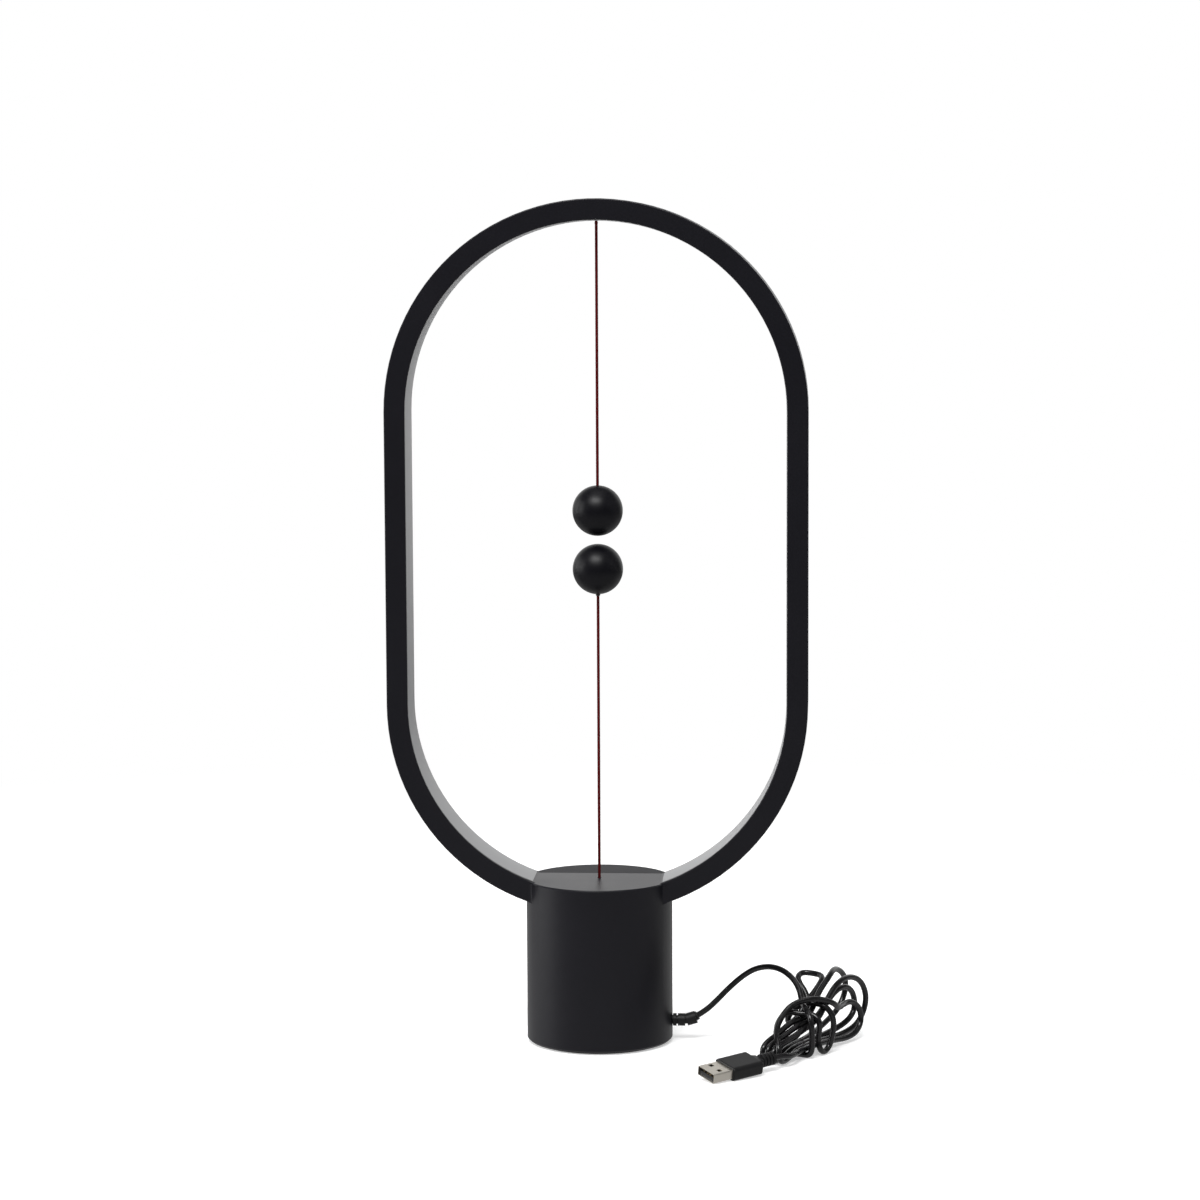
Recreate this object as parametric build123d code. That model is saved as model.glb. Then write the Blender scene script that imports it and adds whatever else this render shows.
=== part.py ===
from build123d import *
import os
from math import asin, atan2, ceil, cos, degrees, pi, radians, sin, sqrt, tan
import numpy as np

# Table lamp with a balanced-ball switch, in millimetres. +Z is up, the front is -Y, and the origin is the
# centre of the round base on the table. The rest pose is the switched-on lamp: the balls face each other
# across a small gap and the taut lower string holds the pull switch up.

# Overall form
lamp_height = 403.0
ring_width = 200.0
ring_band = 10.0
ring_front = 15.2
ring_back = 13.6
ring_edge = 0.6
ring_seat = 0.84515
ring_root_radius = 2.5
base_diameter = 70.0
base_height = 79.0
base_edge = 1.1
base_rim = 0.5
skirt_clear = 0.8

# Walls and seams
front_plate = 2.0
back_plate = 2.0
outer_wall = 2.0
base_wall = 2.5
top_plate = 2.5
fit_gap = 0.1
lid_lip = 0.2
seam_groove = (0.3, 0.4)

# Diffuser
diffuser_thickness = 1.5
diffuser_crown = 0.4
strip_end_step = 1.4
diffuser_recess = 0.3
diffuser_hole_gap = 0.2

# Light strip
flex_thickness = 0.6
flex_width = 8.0
chip_count = 50
chip_length = 3.5
chip_width = 2.8
chip_thickness = 0.8
chip_seat = 0.04
strip_end_margin = 1.0
tab_count = 10
tab_length = 6.0
tab_reach = 3.6
tab_thickness = 1.2
tab_root = 0.2

# Balls and strings
ball_diameter = 24.0
ball_gap = 3.9
lower_ball_height = 227.8
string_diameter = 1.0
string_hole = 1.2
string_depth = 7.0
string_end_gap = 0.2
magnet_diameter = 8.0
magnet_length = 5.0
magnet_fit = 0.02
plug_depth = 2.5
small_knot_diameter = 1.8
small_knot_height = 3.3
ring_knot_diameter = 1.8
pivot_gap = 0.3
ferrule_diameter = 2.6
ferrule_length = 2.6
ferrule_gap = 0.02
anchor_diameter = 5.0
anchor_thickness = 1.4

# Pull switch
pull_travel = 4.0
pivot_lift = 5.0
top_hole_diameter = 2.2
guide_length = 22.5
guide_wall = 1.9
carrier_diameter = 6.0
carrier_length = 6.0
carrier_clearance = 0.08
carrier_stop_gap = 0.5
tail_diameter = 3.0
tail_length = 10.0
tail_clearance = 0.2
knot_pocket = 2.6
pull_knot_diameter = 2.0
cap_flange = 1.4
cap_spigot = 1.5
spring_wire = 0.5
spring_diameter = 5.1
spring_turns = 6
spring_seat_gap = 0.05

# Driver board with the micro switch
board_end_insets = (7.5, 11.5)
board_seam_reach = 3.4
board_thickness = 1.6
board_gap = 11.5
right_post_insets = (7.0, 5.0)
left_post_insets = (11.0, 4.0)
post_diameter = 6.0
board_screw_diameter = 2.0
board_screw_length = 7.0
board_screw_head = (4.4, 1.4)
screw_tip_gap = 1.0
inductor_size = (8.0, 5.0)
inductor_insets = (11.0, 6.0)
capacitor_size = (6.3, 9.0)
capacitor_insets = (11.0, 6.0)
regulator_size = (6.0, 5.0, 1.6)
regulator_insets = (19.0, 5.0)
connector_size = (5.0, 7.0, 5.0)
connector_inset = 3.5
switch_size = (12.8, 5.8)
switch_overhang = 1.5
lever_length = 19.5
lever_overlap = 1.0
lever_width = 3.6
lever_thickness = 0.4
lever_angle = 11.5
lever_rest_gap = 0.25
hub_diameter = 1.6
hinge_pin_diameter = 0.8
hinge_pin_gap = 0.05
hub_side_gap = 0.3
switch_ear = 0.4
ear_half_width = 1.2
ear_rise = 0.9
switch_top_gap = 1.1
plunger_size = (1.5, 2.0, 0.6)
plunger_reach = 5.0

# Bottom
foot_inset = 3.5
foot_thickness = 1.5
cover_thickness = 2.2
cover_gap = 0.2
ballast_gap = 2.0
ballast_thickness = 10.0
ballast_cable_slot = 20.0
ballast_slot_end = 16.0
boss_inset = 3.0
boss_diameter = 6.6
boss_height = 14.0
boss_clear = 0.6
boss_angles = (60.0, 180.0, 300.0)
base_screw_diameter = 2.6
base_screw_length = 12.0
base_screw_head = (4.6, 1.3)
screw_gap = 0.1

# Cable entry
cord_diameter = 2.8
cord_height = 9.9
relief_core = 4.2
relief_neck = 4.6
relief_hole_gap = 0.1
relief_block_diameter = 6.0
relief_block_lengths = (1.6, 3.4, 4.6)
relief_block_gap = 0.75
relief_start_gap = 0.3
relief_flange = (8.0, 1.6)
relief_bends = ((5.9, 0.0), (9.4, 0.8), (11.8, 2.2))
clamp_size = (5.0, 17.0, 5.0)
clamp_inset = 7.5
clamp_rise = 5.6
clamp_groove_gap = 0.1
clamp_screw_diameter = 2.4
clamp_screw_spacing = 12.0
clamp_screw_head = (4.4, 1.4)
clamp_screw_reach = 9.0
clamp_roof = 1.0
clamp_rib_gap = 0.5
cable_lead_in = 6.5
cable_bend = (13.5, 6.0)
cable_rise = (15.0, 10.0)
wire_diameter = 1.1
wire_spacing = 2.4
wire_rise = (0.3, 9.0)
wire_bends = ((-6.48, -10.7), (-2.58, -4.4), (-0.8, -0.1))

# Hank of the lead: it lies on the table, 62 degrees round from the X axis, and two turns tie its waist
hank_loops = 5
hank_gap = 0.7
hank_heading = 62.0
hank_waist = (96.5, -24.5)
hank_lift = 0.1
hank_high = 18.2
hank_neck = 8.5
hank_corner = 3.3
hank_exit = 6.0
wrap_turns = 2
wrap_start = -4.0
wrap_step = 4.6
far_tip = 58.0
far_radius = 10.8
far_swing = 2.6
far_fan = 4.8
far_lift = 1.9
far_stagger = 2.2
far_uneven = (-5.0, 2.0)
near_tip = 27.0
near_radius = 5.6
near_swing = 0.6
near_fan = 4.2
near_shift = 0.2
near_lift = 0.5
near_uneven = 1.5
hank_drop = 2.0
hank_dip = 1.0
bend_share = 0.45
gap_sample = 0.5
gap_skip = 4.3

# Arch of the lead and way of its tail, read off the photograph
lead_straight = 4.0
lead_arch = (
    (55.3, 1.0, 18.6),
    (61.6, 2.5, 25.3),
    (68.0, 3.1, 31.4),
    (74.8, 1.8, 36.2),
    (82.0, -2.8, 38.4),
    (89.0, -9.5, 37.0),
    (94.2, -16.8, 33.3),
    (98.8, -25.0, 28.8),
    (102.6, -31.4, 24.6),
)
hank_straight = 4.3
tail_straight = 6.0
tail_bends = ((-21.0, 8.5, 4.6), (-26.8, 9.0, 4.9))
boot_straight = 5.0

# Plug
plug_tip = (54.1, -84.8)
plug_heading = 40.0
plug_pitch = 3.0
plug_roll = 11.0
shell_size = (12.0, 4.5)
shell_wall = 0.3
shell_shown = 10.8
shell_hidden = 4.2
shell_corner = 0.6
window_size = 2.2
window_back = 5.2
window_side = 3.1
grip_size = (17.2, 14.6, 6.6)
grip_corner = 1.9
grip_end = 0.7
shoulder_length = 3.2
shoulder_size = (9.0, 5.6)
shoulder_corner = 1.8
shoulder_taper = 12.0
boot_length = 8.8
boot_core = 4.4
boot_diameter = 6.4
boot_ribs = 4
boot_rib_width = 1.3
boot_rib_start = 0.9
boot_root = 0.5
tongue_thickness = 1.9
tongue_setback = 0.8
tongue_side_gap = 0.2
insulator_start = 0.5
contact_size = (7.4, 1.0, 0.2)
contact_spread = (-3.5, -1.0, 1.0, 3.5)
plug_clear = 0.02

# Derived places
outer_radius = ring_width / 2
inner_radius = outer_radius - ring_band
upper_arc_height = lamp_height - outer_radius
seam = ring_back - back_plate
base_radius = base_diameter / 2
cavity_radius = base_radius - base_wall
seat_half_width = ring_seat * base_radius
lower_arc_height = base_height + sqrt(inner_radius ** 2 - seat_half_width ** 2)
ceiling = base_height - top_plate
channel_radius = outer_radius - outer_wall
channel_front = -ring_front + front_plate
channel_middle = (channel_front + seam) / 2
strip_end = seat_half_width + strip_end_step
foot_band_top = base_height + 2 * top_plate
ball_radius = ball_diameter / 2
upper_ball_height = lower_ball_height + ball_diameter + ball_gap
string_radius = string_diameter / 2
ring_knot_height = upper_arc_height + inner_radius - diffuser_crown - pivot_gap - ring_knot_diameter / 2
lower_pivot = base_height + pivot_lift
guide_bottom = ceiling - guide_length
carrier_bottom = guide_bottom + cap_spigot + carrier_stop_gap + pull_travel
carrier_top = carrier_bottom + carrier_length
tail_bottom = carrier_bottom - tail_length
board_top = tail_bottom - board_gap
board_bottom = board_top - board_thickness
board_left = board_end_insets[0] - cavity_radius
board_right = cavity_radius - board_end_insets[1]
board_half_width = seam + board_seam_reach
post_places = (
    (board_right - right_post_insets[0], right_post_insets[1] - board_half_width),
    (board_left + left_post_insets[0], board_half_width - left_post_insets[1]),
)
lever_pivot_x = lever_overlap - lever_length
lever_pivot_z = tail_bottom - pull_travel - lever_rest_gap - lever_thickness / 2
cover_top = foot_thickness + cover_thickness
foot_diameter = base_diameter - 2 * foot_inset
ballast_diameter = 2 * (cavity_radius - ballast_gap)
boss_circle = cavity_radius - boss_inset
clamp_middle = cavity_radius - clamp_inset
cord_radius = cord_diameter / 2
clamp_ceiling = cord_height + cord_radius + clamp_groove_gap

lying = (Align.CENTER, Align.CENTER, Align.MIN)
beyond = 1.0


def post(diameter, bottom, top, x=0.0, y=0.0):
    """Upright cylinder between two heights."""
    return Pos(x, y, bottom) * Cylinder(diameter / 2, top - bottom, align=lying)


def block(x_range, y_range, z_range):
    """Box between pairs of limits."""
    sizes = [high - low for low, high in (x_range, y_range, z_range)]
    middle = [(high + low) / 2 for low, high in (x_range, y_range, z_range)]
    return Pos(*middle) * Box(*sizes)


def stadium(radius):
    """Upright loop outline: two half circles joined by straight sides."""
    middle = (lower_arc_height + upper_arc_height) / 2
    return Pos(0, middle) * SlotCenterToCenter(upper_arc_height - lower_arc_height, 2 * radius, rotation=90)


def loop_band(inner, outer, front, back):
    """Band of the ring between two radii, from its front to its back."""
    plane = Plane((0, back, 0), x_dir=(1, 0, 0), z_dir=(0, -1, 0))
    return extrude(plane * (stadium(outer) - stadium(inner)), amount=back - front)


def foot_zone(half_width):
    """Space over and in the base where the ring's channel and strips stop."""
    return block((-half_width, half_width), (-base_diameter, base_diameter), (0, foot_band_top))


def loop_station(radius, share):
    """Place on the loop, 0 at its right foot and 1 at its left foot, with the inward direction."""
    foot_angle = asin((strip_end + strip_end_margin) / radius)
    bend = radius * (pi / 2 - foot_angle)
    side = upper_arc_height - lower_arc_height
    run = share * (2 * bend + 2 * side + pi * radius)
    if run < bend:
        angle = foot_angle + run / radius
        return radius * sin(angle), lower_arc_height - radius * cos(angle), -sin(angle), cos(angle)
    run -= bend
    if run < side:
        return radius, lower_arc_height + run, -1.0, 0.0
    run -= side
    if run < pi * radius:
        angle = run / radius
        return radius * cos(angle), upper_arc_height + radius * sin(angle), -cos(angle), -sin(angle)
    run -= pi * radius
    if run < side:
        return -radius, upper_arc_height - run, 1.0, 0.0
    angle = (run - side) / radius
    return -radius * cos(angle), lower_arc_height - radius * sin(angle), cos(angle), sin(angle)


def on_loop(radius, share, y):
    """Location on the loop whose +Z points inward."""
    x, z, inward_x, inward_z = loop_station(radius, share)
    return Pos(x, y, z) * Rot(0, degrees(atan2(inward_x, inward_z)), 0)


def ring_root():
    """Hollow fillet where the right side of the ring's front runs into the base."""
    depth = ring_front + ring_root_radius
    centre = Vector(sqrt((base_radius + ring_root_radius) ** 2 - depth ** 2), -depth)
    corner = Vector(sqrt(base_radius ** 2 - ring_front ** 2), -ring_front)
    on_ring = Vector(centre.X, -ring_front)
    on_base = centre * (base_radius / centre.length)
    middle = centre + (corner - centre).normalized() * ring_root_radius
    sunk = [on_ring + Vector(0, front_plate / 2), on_base * (1 - base_wall / base_diameter)]
    outline = ThreePointArc(on_base, middle, on_ring) + Polyline(on_ring, *sunk, on_base)
    top = base_height - base_rim
    root = extrude(Plane.XY.offset(base_height / 2) * make_face(outline), amount=top - base_height / 2)
    return root & loop_band(inner_radius, outer_radius, -base_diameter, seam)


def seam_cut():
    """Groove in the outer skin along the seam of the front housing and the rear cover."""
    width, depth = seam_groove
    slab = block((-ring_width, ring_width), (seam - width / 2, seam + width / 2), (0, 2 * lamp_height))
    slab -= post(base_diameter - 2 * depth, 0, base_height - depth)
    return slab - loop_band(inner_radius + diffuser_thickness, outer_radius - depth, -ring_front, ring_back)


def lamp_outside(front, back):
    """Outer form of the ring and base between two depths."""
    ring = loop_band(inner_radius, outer_radius, -ring_front, ring_back)
    ring = fillet(ring.faces().sort_by(Axis.Y)[0].edges(), ring_edge)
    drum = post(base_diameter, skirt_clear, base_height)
    drum = chamfer(drum.edges().filter_by(GeomType.CIRCLE).sort_by(Axis.Z)[0], base_edge)
    drum = chamfer(drum.edges().filter_by(GeomType.CIRCLE).sort_by(Axis.Z)[-1], base_rim)
    root = ring_root()
    span = block((-ring_width, ring_width), (front, back), (0, 2 * lamp_height))
    return (ring + drum + root + mirror(root, Plane.YZ) - seam_cut()) & span


def lamp_inside():
    """Hollow of the base and the channel of the ring."""
    channel = loop_band(inner_radius - beyond, channel_radius, channel_front, seam) - foot_zone(strip_end)
    return channel + post(2 * cavity_radius, 0, ceiling)


def screw_boss(angle):
    """Boss for a base screw, joined to the base's wall."""
    x = boss_circle * cos(radians(angle))
    y = boss_circle * sin(radians(angle))
    boss = post(boss_diameter, cover_top, cover_top + boss_height, x, y)
    return boss - post(base_screw_diameter + screw_gap, 0, cover_top + base_screw_length, x, y)


def front_housing():
    """Ring front and outer wall, base drum and base top, with the switch guide and the board's posts."""
    body = lamp_outside(-base_diameter, seam) - lamp_inside()
    body += post(carrier_diameter + 2 * guide_wall, guide_bottom, ceiling)
    body -= post(carrier_diameter + 2 * carrier_clearance, guide_bottom, ceiling)
    body -= post(top_hole_diameter, ceiling - beyond, base_height + beyond)
    for x, y in post_places:
        body += post(post_diameter, board_top, ceiling, x, y)
        body -= post(board_screw_diameter + screw_gap, board_top, board_top + board_screw_length, x, y)
    for angle in boss_angles[1:]:
        body += screw_boss(angle)
    low = clamp_middle - clamp_size[0] / 2
    high = clamp_middle + clamp_size[0] / 2
    half = clamp_size[1] / 2
    bridge = (clamp_ceiling, clamp_ceiling + clamp_rise)
    body += block((low, high), (-half, half), bridge)
    bore_top = clamp_ceiling + clamp_rise - clamp_roof
    for side in (-1, 1):
        rib = sorted((side * half, side * (relief_flange[0] / 2 + clamp_rib_gap)))
        body += block((high - beyond, cavity_radius), rib, bridge)
        x, y = clamp_middle, side * clamp_screw_spacing / 2
        body -= post(clamp_screw_diameter + screw_gap, clamp_ceiling, bore_top, x, y)
    entry = Pos(base_radius, 0, cord_height) * Rot(0, 90, 0)
    body -= entry * Cylinder(relief_neck / 2 + relief_hole_gap, 3 * base_wall)
    return body


def rear_cover():
    """Back plate of the ring with its snap tabs, and the rear segment of the base."""
    hidden_edge = inner_radius + diffuser_thickness + lid_lip
    body = lamp_outside(seam, base_diameter)
    body -= loop_band(inner_radius - beyond, hidden_edge, seam, ring_back) - foot_zone(strip_end)
    body -= post(2 * cavity_radius, 0, ceiling)
    body += screw_boss(boss_angles[0])
    tab_middle = seam - (tab_reach - tab_root) / 2
    for number in range(tab_count):
        share = (number + 0.5) / tab_count
        place = on_loop(channel_radius - fit_gap - tab_thickness / 2, share, tab_middle)
        body += place * Box(tab_length, tab_reach + tab_root, tab_thickness)
    return body


def diffuser():
    """Milky strip round the ring's inner side, with a slight crown; its ends stand on the base's top."""
    angle = asin(strip_end / inner_radius)
    half_angle = (angle + pi / 2) / 2
    foot = Vector(inner_radius * sin(angle), 0, lower_arc_height - inner_radius * cos(angle))
    bend = Vector(inner_radius * sin(half_angle), 0, lower_arc_height - inner_radius * cos(half_angle))
    low = Vector(inner_radius, 0, lower_arc_height)
    high = Vector(inner_radius, 0, upper_arc_height)
    top = Vector(0, 0, upper_arc_height + inner_radius)
    mirrored = [Vector(-p.X, 0, p.Z) for p in (high, low, bend, foot)]
    path = Wire([
        Edge.make_three_point_arc(foot, bend, low),
        Edge.make_line(low, high),
        Edge.make_three_point_arc(high, top, mirrored[0]),
        Edge.make_line(mirrored[0], mirrored[1]),
        Edge.make_three_point_arc(mirrored[1], mirrored[2], mirrored[3]),
    ])
    front = channel_front + fit_gap
    back = ring_back - diffuser_recess
    side = Polyline((back, 0), (back, -diffuser_thickness), (front, -diffuser_thickness), (front, 0))
    face = ThreePointArc((front, 0), ((front + back) / 2, diffuser_crown), (back, 0))
    section = Plane(foot, x_dir=(0, 1, 0), z_dir=(cos(angle), 0, sin(angle))) * make_face(side + face)
    strip = sweep(section, path=path)
    hole = string_hole + 2 * diffuser_hole_gap
    return strip - post(hole, lamp_height - 2 * ring_band, lamp_height - ring_band / 2)


def led_strip():
    """Flexible strip on the inner face of the ring's outer wall."""
    outer = channel_radius - fit_gap / 2
    flex = (channel_middle - flex_width / 2, channel_middle + flex_width / 2)
    return loop_band(outer - flex_thickness, outer, *flex) - foot_zone(strip_end + strip_end_margin)


def led_chips():
    """Even row of light chips on the strip."""
    radius = channel_radius - fit_gap / 2 - flex_thickness - chip_seat - chip_thickness / 2
    chip = Box(chip_length, chip_width, chip_thickness)
    return [on_loop(radius, (n + 0.5) / chip_count, channel_middle) * chip for n in range(chip_count)]


def ball(height, facing):
    """Wooden ball with a magnet bore at the pole that faces the other ball and a string hole behind it."""
    bore = magnet_diameter + 2 * magnet_fit
    depth = plug_depth + magnet_length + magnet_fit
    pole = height + facing * ball_radius
    body = Pos(0, 0, height) * Sphere(ball_radius)
    body -= post(bore, *sorted((pole + facing * beyond, pole - facing * depth)))
    back = height - facing * ball_radius
    depth = string_depth + string_end_gap
    return body - post(string_hole, *sorted((back - facing * beyond, back + facing * depth)))


def magnet(height, facing):
    """Disc magnet in a ball."""
    outer = height + facing * (ball_radius - plug_depth - magnet_fit)
    return post(magnet_diameter, *sorted((outer, outer - facing * (magnet_length - magnet_fit))))


def ball_plug(height, facing):
    """Domed plug that closes a ball's magnet bore flush with the sphere."""
    pole = height + facing * ball_radius
    return post(magnet_diameter, *sorted((pole, pole - facing * plug_depth))) & Pos(0, 0, height) * Sphere(
        ball_radius)


def upper_string():
    """String of the upper ball from the knot at the ring into the ball, with its small knot."""
    top = ring_knot_height - ring_knot_diameter / 2 - pivot_gap
    ball_top = upper_ball_height + ball_radius
    string = post(string_diameter, ball_top - string_depth, top)
    return string + Pos(0, 0, ball_top + small_knot_height) * Sphere(small_knot_diameter / 2)


def string_anchor():
    """Button behind the diffuser with its shank through the strip, which the upper string hangs from."""
    seat = upper_arc_height + inner_radius + diffuser_thickness + fit_gap
    shank = post(string_hole, ring_knot_height + ring_knot_diameter / 2 + pivot_gap, seat)
    return shank + post(anchor_diameter, seat, seat + anchor_thickness)


def lower_string():
    """Taut string from the bend over the base's hole to the lower ball."""
    ball_bottom = lower_ball_height - ball_radius
    return post(string_diameter, lower_pivot + string_radius + pivot_gap, ball_bottom + string_depth)


def ferrule():
    """Crimped tube under the lower ball."""
    top = lower_ball_height - ball_radius - ferrule_gap
    return post(ferrule_diameter, top - ferrule_length, top) - post(string_hole, 0, lamp_height)


def string_root():
    """Lower end of the string, through the base's hole to the knot in the carrier."""
    knot = carrier_bottom + carrier_length / 3
    string = post(string_diameter, knot, lower_pivot - string_radius - pivot_gap)
    return string + Pos(0, 0, knot) * Sphere(pull_knot_diameter / 2)


def pull_carrier():
    """Slider in the guide: a head with a pocket for the knot, and a tail that presses the lever."""
    knot = carrier_bottom + carrier_length / 3
    half = knot_pocket / 2
    body = post(carrier_diameter, carrier_bottom, carrier_top)
    body += post(tail_diameter, tail_bottom, carrier_bottom)
    body -= post(string_hole, knot, carrier_top)
    return body - block((-half, half), (-half, carrier_diameter), (knot - half, knot + half))


def return_spring():
    """Compression spring between the carrier and the base's top."""
    bottom = carrier_top + spring_seat_gap + spring_wire / 2
    length = ceiling - spring_seat_gap - spring_wire / 2 - bottom
    radius = (spring_diameter - spring_wire) / 2
    path = Pos(0, 0, bottom) * Helix(length / spring_turns, length, radius)
    section = Plane(path @ 0, z_dir=path % 0) * Circle(spring_wire / 2)
    return sweep(section, path=path, is_frenet=True)


def guide_cap():
    """Flanged cap that closes the guide and is the carrier's lower stop."""
    outer = carrier_diameter + 2 * guide_wall
    body = post(outer, guide_bottom - cap_flange, guide_bottom)
    body += post(carrier_diameter, guide_bottom, guide_bottom + cap_spigot)
    return body - post(tail_diameter + 2 * tail_clearance, 0, lamp_height)


def driver_board():
    """Circuit board under the housing's posts."""
    half = board_half_width
    board = block((board_left, board_right), (-half, half), (board_bottom, board_top))
    for x, y in post_places:
        board -= post(board_screw_diameter + 2 * screw_gap, board_bottom, board_top, x, y)
    return board


def driver_components():
    """Inductor, capacitor, regulator and the connector of the strip's wires."""
    right, back = inductor_insets
    place = (board_right - right, board_half_width - back)
    inductor = post(inductor_size[0], board_top, board_top + inductor_size[1], *place)
    left, front = capacitor_insets
    place = (board_left + left, front - board_half_width)
    capacitor = post(capacitor_size[0], board_top, board_top + capacitor_size[1], *place)
    right, front = regulator_insets
    place = (board_right - right, front - board_half_width, board_top)
    regulator = Pos(*place) * Box(*regulator_size, align=lying)
    connector = Pos(board_right - connector_inset, 0, board_top) * Box(*connector_size, align=lying)
    return [inductor, capacitor, regulator, connector]


def board_screws():
    """Screws that hold the board to its posts from below."""
    head_diameter, head_height = board_screw_head
    tip = board_top + board_screw_length - screw_tip_gap
    screws = []
    for x, y in post_places:
        head = post(head_diameter, board_bottom - head_height, board_bottom, x, y)
        screws.append(head + post(board_screw_diameter, board_bottom, tip, x, y))
    return screws


def micro_switch():
    """Switch body on the board with the ears and pin of its lever."""
    left = lever_pivot_x - switch_overhang
    half = switch_size[1] / 2
    top = lever_pivot_z - switch_top_gap
    body = block((left, left + switch_size[0]), (-half, half), (board_top, top))
    for side in (-1, 1):
        ear = sorted((side * half, side * (half - switch_ear)))
        width = (lever_pivot_x - ear_half_width, lever_pivot_x + ear_half_width)
        body += block(width, ear, (top, lever_pivot_z + ear_rise))
    length, width, height = plunger_size
    x = lever_pivot_x + plunger_reach
    body += block((x, x + length), (-width / 2, width / 2), (top, top + height))
    pin = Pos(lever_pivot_x, 0, lever_pivot_z) * Rot(90, 0, 0) * Cylinder(hinge_pin_diameter / 2, 2 * half)
    return body + pin


def switch_lever():
    """Leaf under the carrier's tail, drawn in its raised, switched-on place."""
    hub_length = switch_size[1] - 2 * switch_ear - 2 * hub_side_gap
    leaf = Pos(lever_length / 2, 0, 0) * Box(lever_length, lever_width, lever_thickness)
    hub = Rot(90, 0, 0) * Cylinder(hub_diameter / 2, hub_length)
    bore = Rot(90, 0, 0) * Cylinder(hinge_pin_diameter / 2 + hinge_pin_gap, 2 * hub_length)
    return Pos(lever_pivot_x, 0, lever_pivot_z) * Rot(0, -lever_angle, 0) * (leaf + hub - bore)


def bottom_cover():
    """Plate that closes the base, with sunk holes for its screws."""
    plate = post(2 * (cavity_radius - cover_gap), foot_thickness, cover_top)
    head_diameter, head_height = base_screw_head
    for angle in boss_angles:
        x = boss_circle * cos(radians(angle))
        y = boss_circle * sin(radians(angle))
        plate -= post(base_screw_diameter + 2 * screw_gap, 0, cover_top, x, y)
        plate -= post(head_diameter + 2 * screw_gap, 0, foot_thickness + head_height, x, y)
    return plate


def base_screws():
    """Screws of the bottom cover, sunk over the foot."""
    head_diameter, head_height = base_screw_head
    tip = cover_top + base_screw_length - screw_tip_gap
    screws = []
    for angle in boss_angles:
        x = boss_circle * cos(radians(angle))
        y = boss_circle * sin(radians(angle))
        head = post(head_diameter, foot_thickness, foot_thickness + head_height, x, y)
        screws.append(head + post(base_screw_diameter, foot_thickness, tip, x, y))
    return screws


def ballast_weight():
    """Steel disc on the bottom cover, cut out for the bosses and the cable."""
    weight = post(ballast_diameter, cover_top, cover_top + ballast_thickness)
    for angle in boss_angles:
        x = boss_circle * cos(radians(angle))
        y = boss_circle * sin(radians(angle))
        weight -= post(boss_diameter + 2 * boss_clear, 0, lamp_height, x, y)
    half = ballast_cable_slot / 2
    slot_end = clamp_middle - ballast_slot_end
    return weight - block((slot_end, ballast_diameter), (-half, half), (0, lamp_height))


def bend_radii(corners):
    """Radius of each corner's arc, as large as its two runs allow."""
    radii = []
    for before, here, after in zip(corners, corners[1:], corners[2:]):
        turn = radians((here - before).get_angle(after - here))
        shorter = min((here - before).length, (after - here).length)
        radii.append(bend_share * shorter / tan(turn / 2))
    return radii


def bent_path(points):
    """Straight runs joined by tangent arcs."""
    corners = [Vector(*p) for p in points]
    return FilletPolyline(*corners, radius=bend_radii(corners))


def bent_tube(points, diameter, name):
    """Round tube along a bent path, with its length, radii and volume printed."""
    corners = [Vector(*p) for p in points]
    path = bent_path(points)
    tube = sweep(Plane(path @ 0, z_dir=path % 0) * Circle(diameter / 2), path=path)
    expected = pi * diameter ** 2 / 4 * path.length
    print(name, "length", round(path.length, 2), "radii", [round(r, 1) for r in bend_radii(corners)])
    print(name, "volume over section times length", round(tube.volume / expected, 5))
    return tube


def relief_route():
    """Middle line of the strain relief: level through the wall, then turned up to the lead."""
    start = sqrt(cavity_radius ** 2 - (relief_flange[0] / 2) ** 2) - fit_gap - relief_flange[1]
    reach = base_radius + relief_start_gap
    return [(start, 0, cord_height)] + [(reach + out, 0, cord_height + rise) for out, rise in relief_bends]


def strain_relief():
    """Ribbed sleeve with its neck in the wall and its flange inside."""
    route = relief_route()
    neck = Pos(route[0][0], 0, cord_height) * Rot(0, 90, 0)
    body = bent_tube(route, relief_core, "strain relief")
    body += neck * Cylinder(relief_flange[0] / 2, relief_flange[1], align=lying)
    body += neck * Cylinder(relief_neck / 2, base_radius - route[0][0], align=lying)
    path = bent_path(route)
    along = base_radius + relief_start_gap - route[0][0]
    for length in relief_block_lengths:
        middle = path.position_at((along + length / 2) / path.length)
        heading = path.tangent_at((along + length / 2) / path.length)
        body += Plane(middle, z_dir=heading) * Cylinder(relief_block_diameter / 2, length)
        along += length + relief_block_gap
    return body


def inner_cable():
    """Lead's inner end from the strain relief through the clamp up to the board."""
    start = relief_route()[0]
    rise_x = clamp_middle - cable_rise[0]
    points = [
        start,
        (clamp_middle - clamp_size[0] / 2 - cable_lead_in, 0, cord_height),
        (clamp_middle - cable_bend[0], 0, cord_height + cable_bend[1]),
        (rise_x, 0, board_bottom - cable_rise[1]),
        (rise_x, 0, board_bottom),
    ]
    return bent_tube(points, cord_diameter, "inner cable")


def cable_clamp():
    """Saddle under the cable, screwed up to the housing's bridge."""
    half = clamp_size[1] / 2
    low = clamp_middle - clamp_size[0] / 2
    high = clamp_middle + clamp_size[0] / 2
    saddle = block((low, high), (-half, half), (clamp_ceiling - clamp_size[2], clamp_ceiling))
    channel = Pos(clamp_middle, 0, cord_height) * Rot(0, 90, 0)
    groove = cord_radius + clamp_groove_gap
    saddle -= channel * Cylinder(groove, 2 * clamp_size[0])
    saddle -= block((low - beyond, high + beyond), (-groove, groove), (cord_height, clamp_ceiling + beyond))
    for side in (-1, 1):
        y = side * clamp_screw_spacing / 2
        saddle -= post(clamp_screw_diameter + 2 * screw_gap, 0, clamp_ceiling, clamp_middle, y)
    return saddle


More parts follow.
